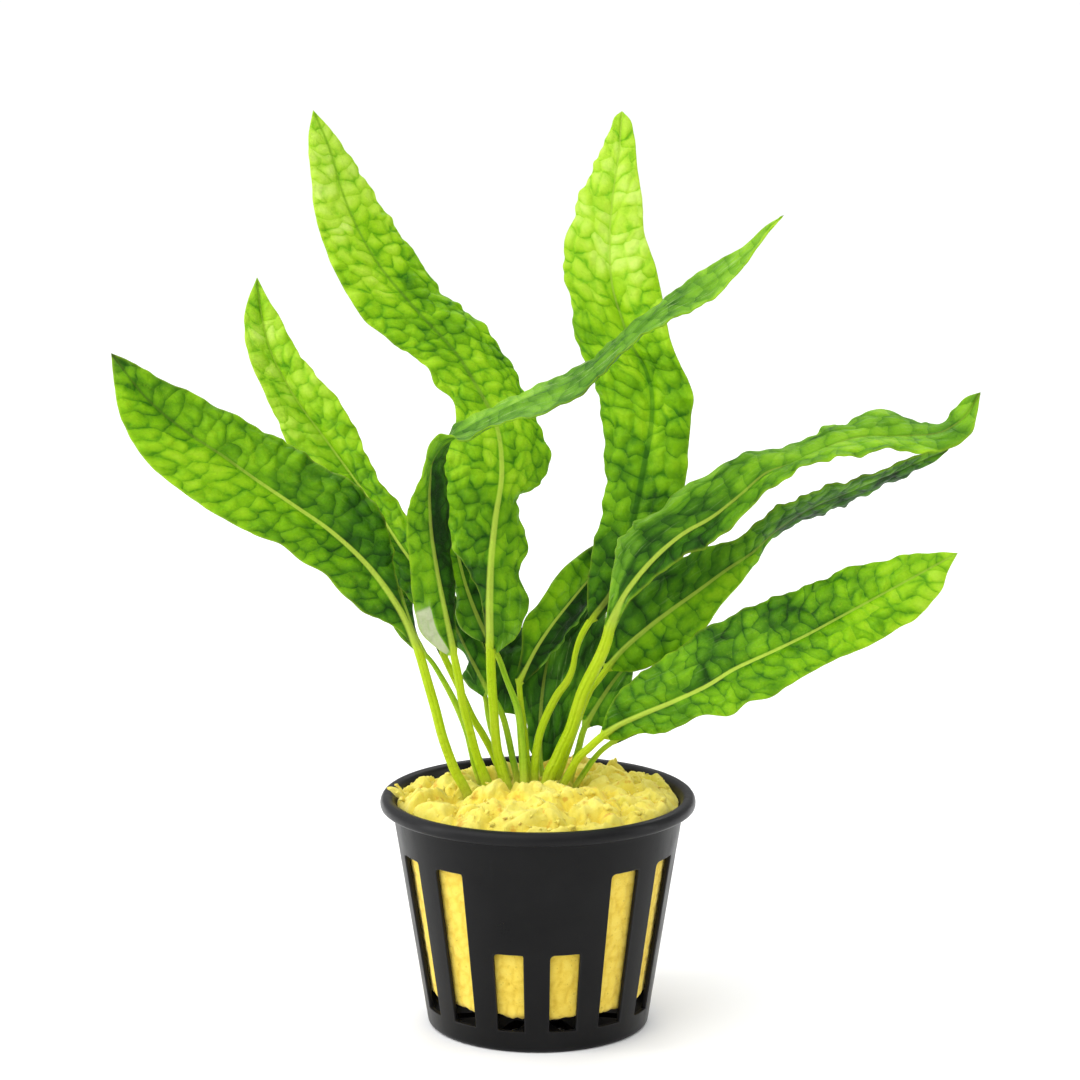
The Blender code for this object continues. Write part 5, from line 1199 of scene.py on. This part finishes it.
def medium_plain(x, y):
    """The top of the plain solid, in mm."""
    lump = (0.75 * np.sin(0.42 * x + 1.1) * np.cos(0.36 * y - 0.4)
            + 0.55 * np.sin(0.71 * x - 0.9 * y + 2.0) + 0.35 * np.cos(1.15 * x + 0.8 * y))
    r = np.hypot(x, y)
    heap = 1.3 * np.maximum(0.0, 1 - (r / 20.0) ** 2)
    edge = np.maximum(0.0, (r - 19.5) / 4.5)
    hollow = 1.8 * np.exp(-((x + 13) ** 2 + (y - 19) ** 2) / 40.0)
    return MEDIUM_TOP + heap - 1.5 * edge ** 2 - hollow + 0.9 * lump * (1 - 0.5 * edge)


def mash(x, y, size, seed, sharp):
    """Soft lumps pressed together, each tilted its own way: height 0 to about 1, crevices 0."""
    f1, f2, c, du, dv = nearest_two(x, y, size, seed)
    body = ramp(f2 - f1, -0.04, sharp)
    turn = c * 6.283 * 7.0
    tilt = (du * np.cos(turn) + dv * np.sin(turn)) * 0.8
    return body * (0.75 + 0.5 * (c - 0.5) + tilt), body


def medium_relief(x, y):
    """Soft mashed clumps with rounded grains on the top, in mm, and how deep each point lies, which sets the painted
    shade in the crevices.
    """
    p = np.stack([x, y, np.zeros_like(x)], axis=1)
    wx = x + 4.5 * (noise3(p, 4.2, 3) - 0.5) + 1.2 * (noise3(p, 1.2, 13) - 0.5)
    wy = y + 4.5 * (noise3(p, 4.2, 4) - 0.5) + 1.2 * (noise3(p, 1.2, 14) - 0.5)
    # long folds that run to the right and backwards
    lx, ly = 0.93 * wx + 0.37 * wy, -0.37 * wx + 0.93 * wy
    h1, clump = mash(lx * 0.58 + 3.0, ly, 6.4, 21, 0.42)
    h2, knob = mash(lx * 0.72, ly + 2.0, 2.9, 31, 0.46)
    grains = []
    for size, seed in ((1.7, 41), (1.0, 61)):
        f1 = nearest_two(x + 0.8 * (noise3(p, 0.9, seed) - 0.5), y + 0.8 * (noise3(p, 0.9, seed + 1) - 0.5),
                         size, seed)[0]
        grains.append(np.sqrt(np.clip(1 - (f1 / 0.9) ** 2, 0, 1)))
    some = ramp(noise3(p, 2.4, 18), 0.35, 0.6)
    high = 2.3 * (h1 - 0.5) + 0.70 * (h2 - 0.5)
    high = high + (0.14 + 0.34 * some) * (grains[0] - 0.6) + 0.15 * (grains[1] - 0.6)
    high = high + 0.20 * (noise3(p, 0.55, 7) - 0.5) + 0.5 * (noise3(p, 1.9, 27) - 0.5)
    deep = np.clip(1.12 - (0.66 * clump + 0.26 * knob + 0.16 * grains[0] + 0.08 * grains[1]), 0, 1)
    return high, deep


STALK_FEET = [place(*leaf["stalk"][0][:3])[:2] for leaf in LEAVES.values()]


# how near each point lies to a stalk's foot, for the painted shade round the stalks
def near_stalks(x, y):
    near = np.zeros_like(x)
    for fx, fy in STALK_FEET:
        near = np.maximum(near, np.exp(-((x - fx) ** 2 + (y - fy + 0.4) ** 2) / 4.5))
    return 0.65 * near


def medium_surface(x, y):
    high, deep = medium_relief(x, y)
    r = np.hypot(x, y)
    calm = 1 - 0.35 * ramp(r, 21.0, 24.0)
    # the wool lies lower round the stalks, and sinks at the back left
    feet = np.zeros_like(x)
    for fx, fy in STALK_FEET:
        feet = np.maximum(feet, np.exp(-((x - fx) ** 2 + (y - fy + 0.6) ** 2) / 3.2))
    low = 1.25 * feet + 2.1 * np.exp(-((x + 15) ** 2 + (y - 15.5) ** 2) / 46.0)
    swell = 0.9 * np.exp(-((x + 3.0) ** 2 / 60.0 + (y + 7.5) ** 2 / 14.0))
    return medium_plain(x, y) + 0.05 + high * calm * (1 - 0.5 * feet) - low + swell, deep


def make_medium():
    n = 480
    ang = 2 * np.pi * np.arange(n) / n
    sx, sy = np.sin(ang), -np.cos(ang)
    rows, deep, side = [], [], []

    def inner(z):
        return wall_radius(z) - WALL - 0.30 + 0.35 * max(0.0, (z - 37.0) / 2.4)

    # underside and side, upwards
    for r in (6.0, 12.0, 16.5):
        rows.append(np.stack([sx * r, sy * r, np.full(n, MEDIUM_BOTTOM)], axis=1))
        deep.append(np.full(n, 0.7))
        side.append(np.ones(n))
    zs = np.concatenate([[MEDIUM_BOTTOM, MEDIUM_BOTTOM + 0.35], np.linspace(MEDIUM_BOTTOM + 0.9, 39.2, 64)])
    for k, z in enumerate(zs):
        r = inner(z) - (0.9, 0.3)[k] if k < 2 else inner(z)
        p = np.stack([sx * r, sy * r, np.full(n, z)], axis=1)
        a = ang * 21.0
        f1, f2 = nearest_two(a + 40, np.full(n, z) + 40, 2.3, 51)[:2]
        pit = 1 - np.clip((f2 - f1) / 0.35, 0, 1)
        nz = noise3(p, 1.1, 8)
        inwards = 0.14 * pit ** 2 + 0.30 * np.maximum(0, nz - 0.60) + 0.08 * noise3(p, 0.45, 9)
        low = np.interp(z, [MEDIUM_BOTTOM, 12.0], [1.0, 0.0])
        ragged = 1.1 * (noise3(p * [1, 1, 0], 3.2, 16) - 0.4) + 0.5 * (noise3(p * [1, 1, 0], 0.9, 17) - 0.5)
        zz = z + low * ragged + (0.35 * (noise3(p, 1.3, 10) - 0.5) if 1 < k < len(zs) - 1 else 0)
        rr = r - inwards
        rows.append(np.stack([sx * rr, sy * rr, np.full(n, 1.0) * zz], axis=1))
        # painted shade in the pits of the side
        deep.append(np.clip(0.15 + 0.5 * pit + 0.8 * np.maximum(0, nz - 0.5), 0, 1))
        side.append(np.ones(n))
    # rounded shoulder, then the top
    r_top = inner(39.2)
    for k, r in enumerate(np.concatenate([[r_top - 0.15, r_top - 0.45], np.linspace(r_top - 0.85, 0.5, 84)])):
        x, y = sx * r, sy * r
        z, d = medium_surface(x, y)
        if k < 2:
            z = 39.3 + (z - 39.3) * (0.35, 0.75)[k]
        z = np.maximum(z, 39.3)
        rows.append(np.stack([x, y, z], axis=1))
        deep.append(d)
        side.append(np.zeros(n))
    K = len(rows)
    verts = np.vstack(rows + [np.array([[0, 0, MEDIUM_BOTTOM]]),
                              np.array([[0, 0, float(medium_surface(np.zeros(1), np.zeros(1))[0][0])]])])
    i = np.arange(n)
    j = (i + 1) % n
    start = np.arange(K - 1)[:, None] * n
    quads = np.stack([start + i, start + j, start + n + j, start + n + i], axis=-1).reshape(-1, 4)
    c = K * n
    tris = np.vstack([np.stack([j, i, np.full(n, c)], -1),
                      np.stack([(K - 1) * n + i, (K - 1) * n + j, np.full(n, c + 1)], -1)])
    deep = np.concatenate(deep + [[0.5, 0.3]])
    side = np.concatenate(side + [[1.0, 0.0]])
    near = near_stalks(verts[:, 0], verts[:, 1]) * (1 - side)
    ob = make_mesh("wool_plug", verts, quads, tris, dict(deep=deep, side=side, near=near), dict(place=verts))
    mat = medium_material("planting_wool")
    ob.data.materials.append(mat)
    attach(ob, "root")
    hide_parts("growing_medium")
    make_crumbs(mat)


def lump_shape(level):
    import bmesh
    bm = bmesh.new()
    bmesh.ops.create_icosphere(bm, subdivisions=level, radius=1.0)
    v = np.array([p.co[:] for p in bm.verts])
    f = np.array([[p.index for p in face.verts] for face in bm.faces])
    bm.free()
    return v, f


def make_crumbs(mat):
    """Loose crumbs on the wool and short bristles of its fibres, one joined mesh."""
    rng = np.random.default_rng(SEED + 5)
    verts, tris, deep, at = [], [], [], 0
    for level, count, low, high in ((3, 70, 0.40, 0.75), (2, 320, 0.14, 0.34)):
        v0, f0 = lump_shape(level)
        r = 23.6 * np.sqrt(rng.random(count))
        a = 2 * np.pi * rng.random(count)
        x, y = r * np.cos(a), r * np.sin(a)
        z, d = medium_surface(x, y)
        size = low + (high - low) * rng.random(count) ** 1.8
        for k in range(count):
            if r[k] > 22.8 and size[k] > 0.6:
                continue
            shape = 0.45 + 0.75 * noise3(v0 + k * 3.1, 0.8, 12) + 0.35 * noise3(v0 + k * 3.1, 0.35, 15)
            v = v0 * shape[:, None] * size[k] * (0.7 + 0.6 * rng.random(3))
            spin = rng.random() * 6.283
            cs, sn = math.cos(spin), math.sin(spin)
            v = v @ np.array([[cs, -sn, 0], [sn, cs, 0], [0, 0, 1]])
            verts.append(v + np.array([x[k], y[k], z[k] - 0.05 * size[k]]))
            tris.append(f0 + at)
            at += len(v0)
            deep.append(np.full(len(v0), 0.25 * rng.random()))
    # bristles
    count = 60
    r = 24.2 * rng.random(count) ** 0.25
    a = 2 * np.pi * rng.random(count)
    x, y = r * np.cos(a), r * np.sin(a)
    z, d = medium_surface(x, y)
    for k in range(count):
        base = np.array([x[k], y[k], z[k] - 0.15])
        way = rng.normal(size=3) * np.array([0.75, 0.75, 0.35]) + np.array([0, 0, 0.75])
        way /= np.linalg.norm(way)
        side = np.cross(way, [0.3, 0.9, 0.2])
        side /= np.linalg.norm(side)
        other = np.cross(way, side)
        long = 0.6 + 0.9 * rng.random()
        wide = 0.16 + 0.14 * rng.random()
        bend = rng.normal(size=3) * 0.25
        ring = []
        for step, thin in ((0.0, 1.0), (0.45, 0.75), (0.85, 0.4)):
            mid = base + way * long * step + bend * step * step
            for q in range(3):
                w = 2.0944 * q
                ring.append(mid + (side * math.cos(w) + other * math.sin(w)) * wide * thin)
        ring.append(base + way * long + bend)
        f = [(0, 2, 1)]
        for s in (0, 3):
            for q in range(3):
                p, o = s + q, s + (q + 1) % 3
                f += [(p, o, o + 3), (p, o + 3, p + 3)]
        f += [(6, 7, 9), (7, 8, 9), (8, 6, 9)]
        verts.append(np.array(ring))
        tris.append(np.array(f) + at)
        at += len(ring)
        deep.append(np.full(len(ring), 0.1 + 0.2 * rng.random()))
    # a tuft of soft strands that hangs over the rim on the left
    for k, (fx, fy, fz, tx, ty, tz, wide) in enumerate((
            (-23.6, -2.2, 40.6, -26.2, -2.8, 42.6, 0.62), (-23.2, -3.6, 40.4, -24.6, -4.4, 42.2, 0.50),
            (-23.4, -0.8, 40.6, -24.9, -0.6, 42.7, 0.42), (-22.6, -5.4, 40.2, -23.8, -6.6, 41.6, 0.45))):
        a0, a1 = np.array([fx, fy, fz]), np.array([tx, ty, tz])
        way = (a1 - a0) / np.linalg.norm(a1 - a0)
        side = np.cross(way, [0.1, 0.9, 0.2])
        side /= np.linalg.norm(side)
        other = np.cross(way, side)
        m, rings = 10, 9
        ring = []
        for step in range(rings):
            f = step / (rings - 1)
            mid = a0 + (a1 - a0) * f + np.array([0, 0, 0.35 * math.sin(3.14 * f)])
            thin = wide * (0.8 + 0.25 * math.sin(5.0 * f + k)) * math.sqrt(max(0.02, 1 - (2 * f - 1) ** 8))
            for q in range(m):
                w = 2 * math.pi * q / m
                ring.append(mid + (side * math.cos(w) + other * math.sin(w)) * thin)
        ring = np.array(ring)
        ring = ring + 0.16 * (noise3(ring, 0.5, 19)[:, None] - 0.5)
        f = [(0, q + 1, q) for q in range(1, m - 1)]
        for step in range(rings - 1):
            for q in range(m):
                p, o = step * m + q, step * m + (q + 1) % m
                f += [(p, o, o + m), (p, o + m, p + m)]
        last = (rings - 1) * m
        f += [(last, last + q, last + q + 1) for q in range(1, m - 1)]
        verts.append(ring)
        tris.append(np.array(f) + at)
        at += len(ring)
        deep.append(np.full(len(ring), 0.05))
    verts = np.vstack(verts)
    ob = make_mesh("wool_crumbs", verts, np.zeros((0, 4), int), np.vstack(tris),
                   dict(deep=np.concatenate(deep), side=np.zeros(len(verts)),
                        near=near_stalks(verts[:, 0], verts[:, 1])), dict(place=verts))
    ob.data.materials.append(mat)
    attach(ob, "root")


# ================================================================ pot
def make_pot():
    """The pot with a fine round rim and rounded slot edges, in the place of its plain solid."""
    top = POT_HEIGHT
    c, bevel = SLOT_CORNER, 0.16
    half_angle = math.pi / SLOTS
    grow = (SLOT_HALF_TOP - SLOT_HALF_BOTTOM) / (SLOT_TOP - SLOT_BOTTOM)

    def half(z):
        return SLOT_HALF_BOTTOM + grow * (z - SLOT_BOTTOM)

    zs = [0.8, 1.7, 2.7, SLOT_BOTTOM - 0.22, SLOT_BOTTOM, SLOT_BOTTOM + 0.18, SLOT_BOTTOM + 0.4]
    zs += list(np.linspace(5.6, SHORT_SLOT_TOP - c - 0.8, 6))
    zs += [SHORT_SLOT_TOP - c, SHORT_SLOT_TOP - 0.5 * c, SHORT_SLOT_TOP, SHORT_SLOT_TOP + 0.22]
    zs += list(np.linspace(SHORT_SLOT_TOP + 1.4, SLOT_TOP - c - 1.0, 6))
    zs += [SLOT_TOP - c, SLOT_TOP - 0.5 * c, SLOT_TOP, SLOT_TOP + 0.22]
    zs += [33.2, 34.6, 36.2, 37.4, top - 2.7]
    zs = np.array(zs)
    # lists for the columns of one sector, which nothing reads; column_s below gives the columns' sideways places in
    # mm
    inset = [0.0, 0.5 * c, c]
    cols = []
    bars = [0.22, None, None]

    def column_s(z, R):
        """Sideways places of the columns at this height on radius R, from -edge to +edge."""
        h = half(z)
        b = R * math.sin(half_angle)
        right = [h - c - 1.0, h - c, h - 0.5 * c, h, h + 0.22]
        right += [h + 0.22 + (b - h - 0.22) * f for f in (0.35, 0.7)]
        left = [-s for s in reversed(right)]
        return [-b] + left + [0.0] + right

    def outline(z_row, z_top, s):
        """The sideways place s, unchanged."""
        return s

    n_col = len(column_s(10.0, 20.0))
    total = n_col * SLOTS
    sectors = [2 * math.pi * (k + 0.5) / SLOTS for k in range(SLOTS)]

    def ring_at(z, R):
        """One closed ring of points at height z and radius R."""
        s = np.array(column_s(z, R))
        pts = []
        for a in sectors:
            out = np.array([math.sin(a), -math.cos(a), 0.0])
            side = np.array([math.cos(a), math.sin(a), 0.0])
            d = np.sqrt(R * R - s * s)
            pts.append(out * d[:, None] + side * s[:, None] + np.array([0, 0, z]))
        return np.vstack(pts)

    def polar(R, z):
        s = np.array(column_s(10.0, 20.0)) / 20.0
        pts = []
        for a in sectors:
            ang = a + np.arcsin(np.clip(s, -1, 1))
            pts.append(np.stack([R * np.sin(ang), -R * np.cos(ang), np.full(len(s), z)], axis=1))
        return np.vstack(pts)

    # how far each point's edge is drawn lighter, which the material turns into a painted highlight on the flanks
    rows, edge_lightening, kind = [], [], []

    def add(points, w, k):
        rows.append(points)
        edge_lightening.append(np.full(len(points), w))
        kind.append(k)

    # underside to outer wall
    for r, z in ((16.0, 0.0), (WALL_BASE_RADIUS - 0.75, 0.0), (WALL_BASE_RADIUS - 0.45, 0.03),
                 (WALL_BASE_RADIUS - 0.15, 0.17), (wall_radius(0.45) - 0.02, 0.45)):
        add(polar(r, z), 0.4, "base")
    for k, z in enumerate(zs):
        add(ring_at(z, wall_radius(z) if z < top - 2.8 else WALL_TOP_RADIUS), 0.0, ("out", k))
    # the rolled rim, outside to inside
    rim = [(WALL_TOP_RADIUS + 0.10, top - 2.52), (WALL_TOP_RADIUS + 0.40, top - 2.40),
           (RIM_RADIUS - 0.75, top - 2.36), (RIM_RADIUS - 0.40, top - 2.26), (RIM_RADIUS - 0.15, top - 2.05),
           (RIM_RADIUS - 0.03, top - 1.75), (RIM_RADIUS, top - 1.40), (RIM_RADIUS - 0.06, top - 1.0),
           (RIM_RADIUS - 0.20, top - 0.62), (RIM_RADIUS - 0.42, top - 0.30), (RIM_RADIUS - 0.72, top - 0.09),
           (RIM_RADIUS - 1.00, top - 0.01), (RIM_RADIUS - 1.25, top), (RIM_RADIUS - 1.60, top - 0.05),
           (RIM_RADIUS - 1.92, top - 0.22), (RIM_RADIUS - 2.16, top - 0.50), (RIM_RADIUS - 2.33, top - 0.85),
           (RIM_RADIUS - 2.47, top - 1.25), (RIM_RADIUS - 2.70, top - 1.75), (RIM_RADIUS - 2.93, top - 2.15),
           (WALL_TOP_RADIUS - WALL + 0.03, top - 2.45)]
    for r, z in rim:
        add(polar(r, z), 0.5, "rim")
    # inner wall, downwards
    for k in range(len(zs) - 1, -1, -1):
        z = zs[k]
        if z < FLOOR + 0.2:
            continue
        R = (wall_radius(z) if z < top - 2.8 else WALL_TOP_RADIUS) - WALL
        add(ring_at(z, R), 0.0, ("in", k))
    add(polar(wall_radius(FLOOR) - WALL - 0.25, FLOOR + 0.08), 0.0, "floor")
    add(polar(wall_radius(FLOOR) - WALL - 0.6, FLOOR), 0.0, "floor")
    add(polar(15.6, FLOOR), 0.0, "floor")
    K = len(rows)
    verts = np.vstack(rows)
    edge_lightening = np.concatenate(edge_lightening)
    index = np.arange(K * total).reshape(K, total)
    row_of = {k: i for i, k in enumerate(kind) if isinstance(k, tuple)}
    i0 = list(zs).index(SLOT_BOTTOM)
    s_left, s_right = 4, n_col - 5  # columns of the slot's two edges
    gone = set()
    extra, extra_edge_lightening, quads = [], [], []
    for sec in range(SLOTS):
        z_top = SHORT_SLOT_TOP if sec in (0, SLOTS - 1) else SLOT_TOP
        i1 = [k for k, z in enumerate(zs) if abs(z - z_top) < 1e-9][0]
        a = sectors[sec]
        out = np.array([math.sin(a), -math.cos(a), 0.0])
        side = np.array([math.cos(a), math.sin(a), 0.0])
        # the outline, anticlockwise seen from outside: along the bottom to the right, up, back, down
        loop = [(i0, cc) for cc in range(s_left, s_right + 1)]
        loop += [(ii, s_right) for ii in range(i0 + 1, i1 + 1)]
        loop += [(i1, cc) for cc in range(s_right - 1, s_left - 1, -1)]
        loop += [(ii, s_left) for ii in range(i1 - 1, i0, -1)]
        shape = []
        for ii, cc in loop:
            z = zs[ii]
            s = column_s(z, 20.0)[cc] if s_left <= cc <= s_right else None
            h = half(z)
            sign = 1 if s >= 0 else -1
            # round corners
            if ii == i1 and abs(abs(s) - h) < 1e-6:
                s, z = sign * (half(z_top) - c + c * math.cos(math.pi / 4)), z_top - c + c * math.sin(math.pi / 4)
            elif ii == i1 and abs(abs(s) - (h - 0.5 * c)) < 1e-6:
                s, z = sign * (h - c + c * math.cos(math.radians(67.5))), z_top - c + c * math.sin(math.radians(67.5))
            elif ii == i1 - 1 and abs(abs(s) - h) < 1e-6:
                s, z = sign * (h - c + c * math.cos(math.radians(22.5))), z_top - c + c * math.sin(math.radians(22.5))
            elif ii == i0 and abs(abs(s) - h) < 1e-6:
                s, z = sign * (h - 0.13), z + 0.11
            shape.append((s, z))
        shape = np.array(shape)
        tangent = np.roll(shape, -1, axis=0) - np.roll(shape, 1, axis=0)
        tangent /= np.linalg.norm(tangent, axis=1, keepdims=True)
        # the bar's side of the outline is on its right when it runs anticlockwise
        away = np.stack([tangent[:, 1], -tangent[:, 0]], axis=1)

        def spot(s, z, depth):
            R = (wall_radius(z)) - depth
            d = math.sqrt(R * R - s * s)
            return out * d + side * s + np.array([0, 0, z])

        rings = []
        for grown, depth in ((bevel, 0.0), (bevel * 0.3, bevel * 0.3), (0.0, bevel), (0.0, WALL - bevel),
                             (bevel * 0.3, WALL - bevel * 0.3), (bevel, WALL)):
            pos = shape + away * grown
            rings.append([spot(s, z, depth) for s, z in pos])
        outer_ids, inner_ids = [], []
        for (ii, cc), p in zip(loop, rings[0]):
            vid = index[row_of[("out", ii)], sec * n_col + cc]
            verts[vid] = p
            edge_lightening[vid] = 0.8
            outer_ids.append(vid)
        for (ii, cc), p in zip(loop, rings[-1]):
            vid = index[row_of[("in", ii)], sec * n_col + cc]
            verts[vid] = p
            edge_lightening[vid] = 0.5
            inner_ids.append(vid)
        ids = [outer_ids]
        for ring, w in zip(rings[1:-1], (1.0, 0.5, 0.3, 0.6)):
            first = K * total + len(extra)
            extra.extend(ring)
            extra_edge_lightening.extend([w] * len(ring))
            ids.append(list(range(first, first + len(ring))))
        ids.append(inner_ids)
        m = len(loop)
        for r0, r1 in zip(ids, ids[1:]):
            for q in range(m):
                w = (q + 1) % m
                quads.append((r0[w], r0[q], r1[q], r1[w]))
        for ii in range(i0, i1):
            for cc in range(s_left, s_right):
                gone.add((row_of[("out", ii)], sec * n_col + cc))
                gone.add((row_of[("in", ii + 1)], sec * n_col + cc))
    for k in range(K - 1):
        for i in range(total):
            if (k, i) in gone:
                continue
            j = (i + 1) % total
            quads.append((index[k, i], index[k, j], index[k + 1, j], index[k + 1, i]))
    verts = np.vstack([verts, np.array(extra), [[0, 0, 0]], [[0, 0, FLOOR]]])
    edge_lightening = np.concatenate([edge_lightening, extra_edge_lightening, [0, 0]])
    c0 = len(verts) - 2
    tris = [(index[0, (i + 1) % total], index[0, i], c0) for i in range(total)]
    tris += [(index[K - 1, i], index[K - 1, (i + 1) % total], c0 + 1) for i in range(total)]
    ob = make_mesh("net_pot", verts, np.array(quads), np.array(tris), dict(edge=edge_lightening), dict(place=verts))
    ob.data.materials.append(pot_material("black_moulded_plastic"))
    # drain slots in the floor
    pts, faces = [], []
    for k in range(DRAIN_SLOTS):
        a = 2 * math.pi * (k + 0.5) / DRAIN_SLOTS
        out = Vector((math.sin(a), -math.cos(a), 0))
        side = Vector((math.cos(a), math.sin(a), 0))
        first = len(pts)
        for z in (-1.0, 3.0):
            for d, s in ((6.6, -0.9), (7.0, -1.3), (14.6, -1.3), (15.3, -0.7),
                         (15.3, 0.7), (14.6, 1.3), (7.0, 1.3), (6.6, 0.9)):
                pts.append((out * d + side * s + Vector((0, 0, z))) * MM)
        for i in range(8):
            j = (i + 1) % 8
            faces.append((first + i, first + j, first + 8 + j, first + 8 + i))
        faces.append(tuple(range(first + 7, first - 1, -1)))
        faces.append(tuple(range(first + 8, first + 16)))
    mesh = bpy.data.meshes.new("drain_cutter")
    mesh.from_pydata(pts, [], faces)
    cutter = bpy.data.objects.new("drain_cutter", mesh)
    bpy.context.scene.collection.objects.link(cutter)
    mod = ob.modifiers.new("drains", "BOOLEAN")
    mod.operation = "DIFFERENCE"
    mod.solver = "EXACT"
    mod.object = cutter
    bpy.context.view_layer.update()
    done = bpy.data.meshes.new_from_object(ob.evaluated_get(bpy.context.evaluated_depsgraph_get()))
    ob.modifiers.clear()
    ob.data = done
    bpy.data.objects.remove(cutter, do_unlink=True)
    ob.data.shade_smooth()
    ob.data.set_sharp_from_angle(angle=math.radians(50))
    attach(ob, "root")
    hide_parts("pot")


# ================================================================ stage
SKY_LOW, SKY_HIGH = 0.32, 1.72


def make_stage():
    b = Build("pale_floor")
    coord = b.node("ShaderNodeTexCoord").outputs["Object"]
    soft = b.noise(coord, 3.0, 2.0)
    col = b.mix(b.math("MULTIPLY", soft, 0.10), (0.94, 0.94, 0.94, 1), (0.92, 0.92, 0.92, 1))
    shader = b.node("ShaderNodeBsdfPrincipled", {"Base Color": col, "Roughness": 0.9})
    shader.inputs["Specular IOR Level"].default_value = 0.1
    b.node("ShaderNodeOutputMaterial", {"Surface": shader.outputs[0]})
    mesh = bpy.data.meshes.new("studio_floor")
    e = 14.0
    mesh.from_pydata([(-e, -e, -0.00005), (e, -e, -0.00005), (e, e, -0.00005), (-e, e, -0.00005)], [],
                     [(0, 1, 2, 3)])
    floor = bpy.data.objects.new("studio_floor", mesh)
    bpy.context.scene.collection.objects.link(floor)
    mesh.materials.append(b.mat)

    world = bpy.data.worlds.new("studio")
    world.use_nodes = True
    tree = world.node_tree
    back = tree.nodes["Background"]
    # a big soft light overhead, a little to the left and front, and a dim horizon
    way = tree.nodes.new("ShaderNodeTexCoord").outputs["Generated"]
    dot = tree.nodes.new("ShaderNodeVectorMath")
    dot.operation = "DOT_PRODUCT"
    dot.inputs[1].default_value = (-0.36, -0.30, 0.883)
    tree.links.new(way, dot.inputs[0])
    fade = tree.nodes.new("ShaderNodeMapRange")
    fade.interpolation_type = "SMOOTHSTEP"
    for k, value in zip((1, 2, 3, 4), (0.10, 1.0, SKY_LOW, SKY_HIGH)):
        fade.inputs[k].default_value = value
    tree.links.new(dot.outputs["Value"], fade.inputs[0])
    tree.links.new(fade.outputs[0], back.inputs[1])
    back.inputs[0].default_value = (1.0, 1.0, 1.0, 1)
    scene = bpy.context.scene
    scene.world = world
    scene.view_settings.view_transform = "Standard"

    def area(name, place_at, aim, size, watts, colour=(1, 1, 1)):
        data = bpy.data.lights.new(name, "AREA")
        data.shape = "RECTANGLE"
        data.size, data.size_y = size
        data.energy = watts
        data.color = colour
        ob = bpy.data.objects.new(name, data)
        ob.location = place_at
        ob.rotation_euler = (Vector(aim) - Vector(place_at)).to_track_quat("-Z", "Y").to_euler()
        scene.collection.objects.link(ob)

    area("key", (-0.55, -0.45, 0.75), (0, 0, 0.08), (0.8, 0.8), 2.6)
    area("top_back", (0.15, 0.55, 0.70), (0, 0, 0.09), (0.7, 0.4), 2.4)
    area("left_strip", (-0.75, -0.12, 0.22), (0, 0, 0.05), (0.12, 0.5), 1.45)
    area("right_strip", (0.75, -0.08, 0.22), (0, 0, 0.05), (0.12, 0.5), 1.0)


def make_camera():
    a = math.radians(VIEW_TILT)
    data = bpy.data.cameras.new("front")
    data.sensor_width = 36.0
    data.sensor_fit = "HORIZONTAL"
    data.lens = VIEW_FOCAL / 1080.0 * 36.0
    data.clip_start, data.clip_end = 0.01, 100.0
    cam = bpy.data.objects.new("front", data)
    ahead = Vector((0, math.cos(a), -math.sin(a)))
    cam.location = (Vector(VIEW_AIM) - ahead * VIEW_DISTANCE) * MM
    cam.rotation_euler = (math.radians(90) - a, 0, 0)
    bpy.context.scene.collection.objects.link(cam)
    bpy.context.scene.camera = cam


make_camera()
make_stage()
make_leaves()
make_medium()
make_pot()

bpy.context.view_layer.update()
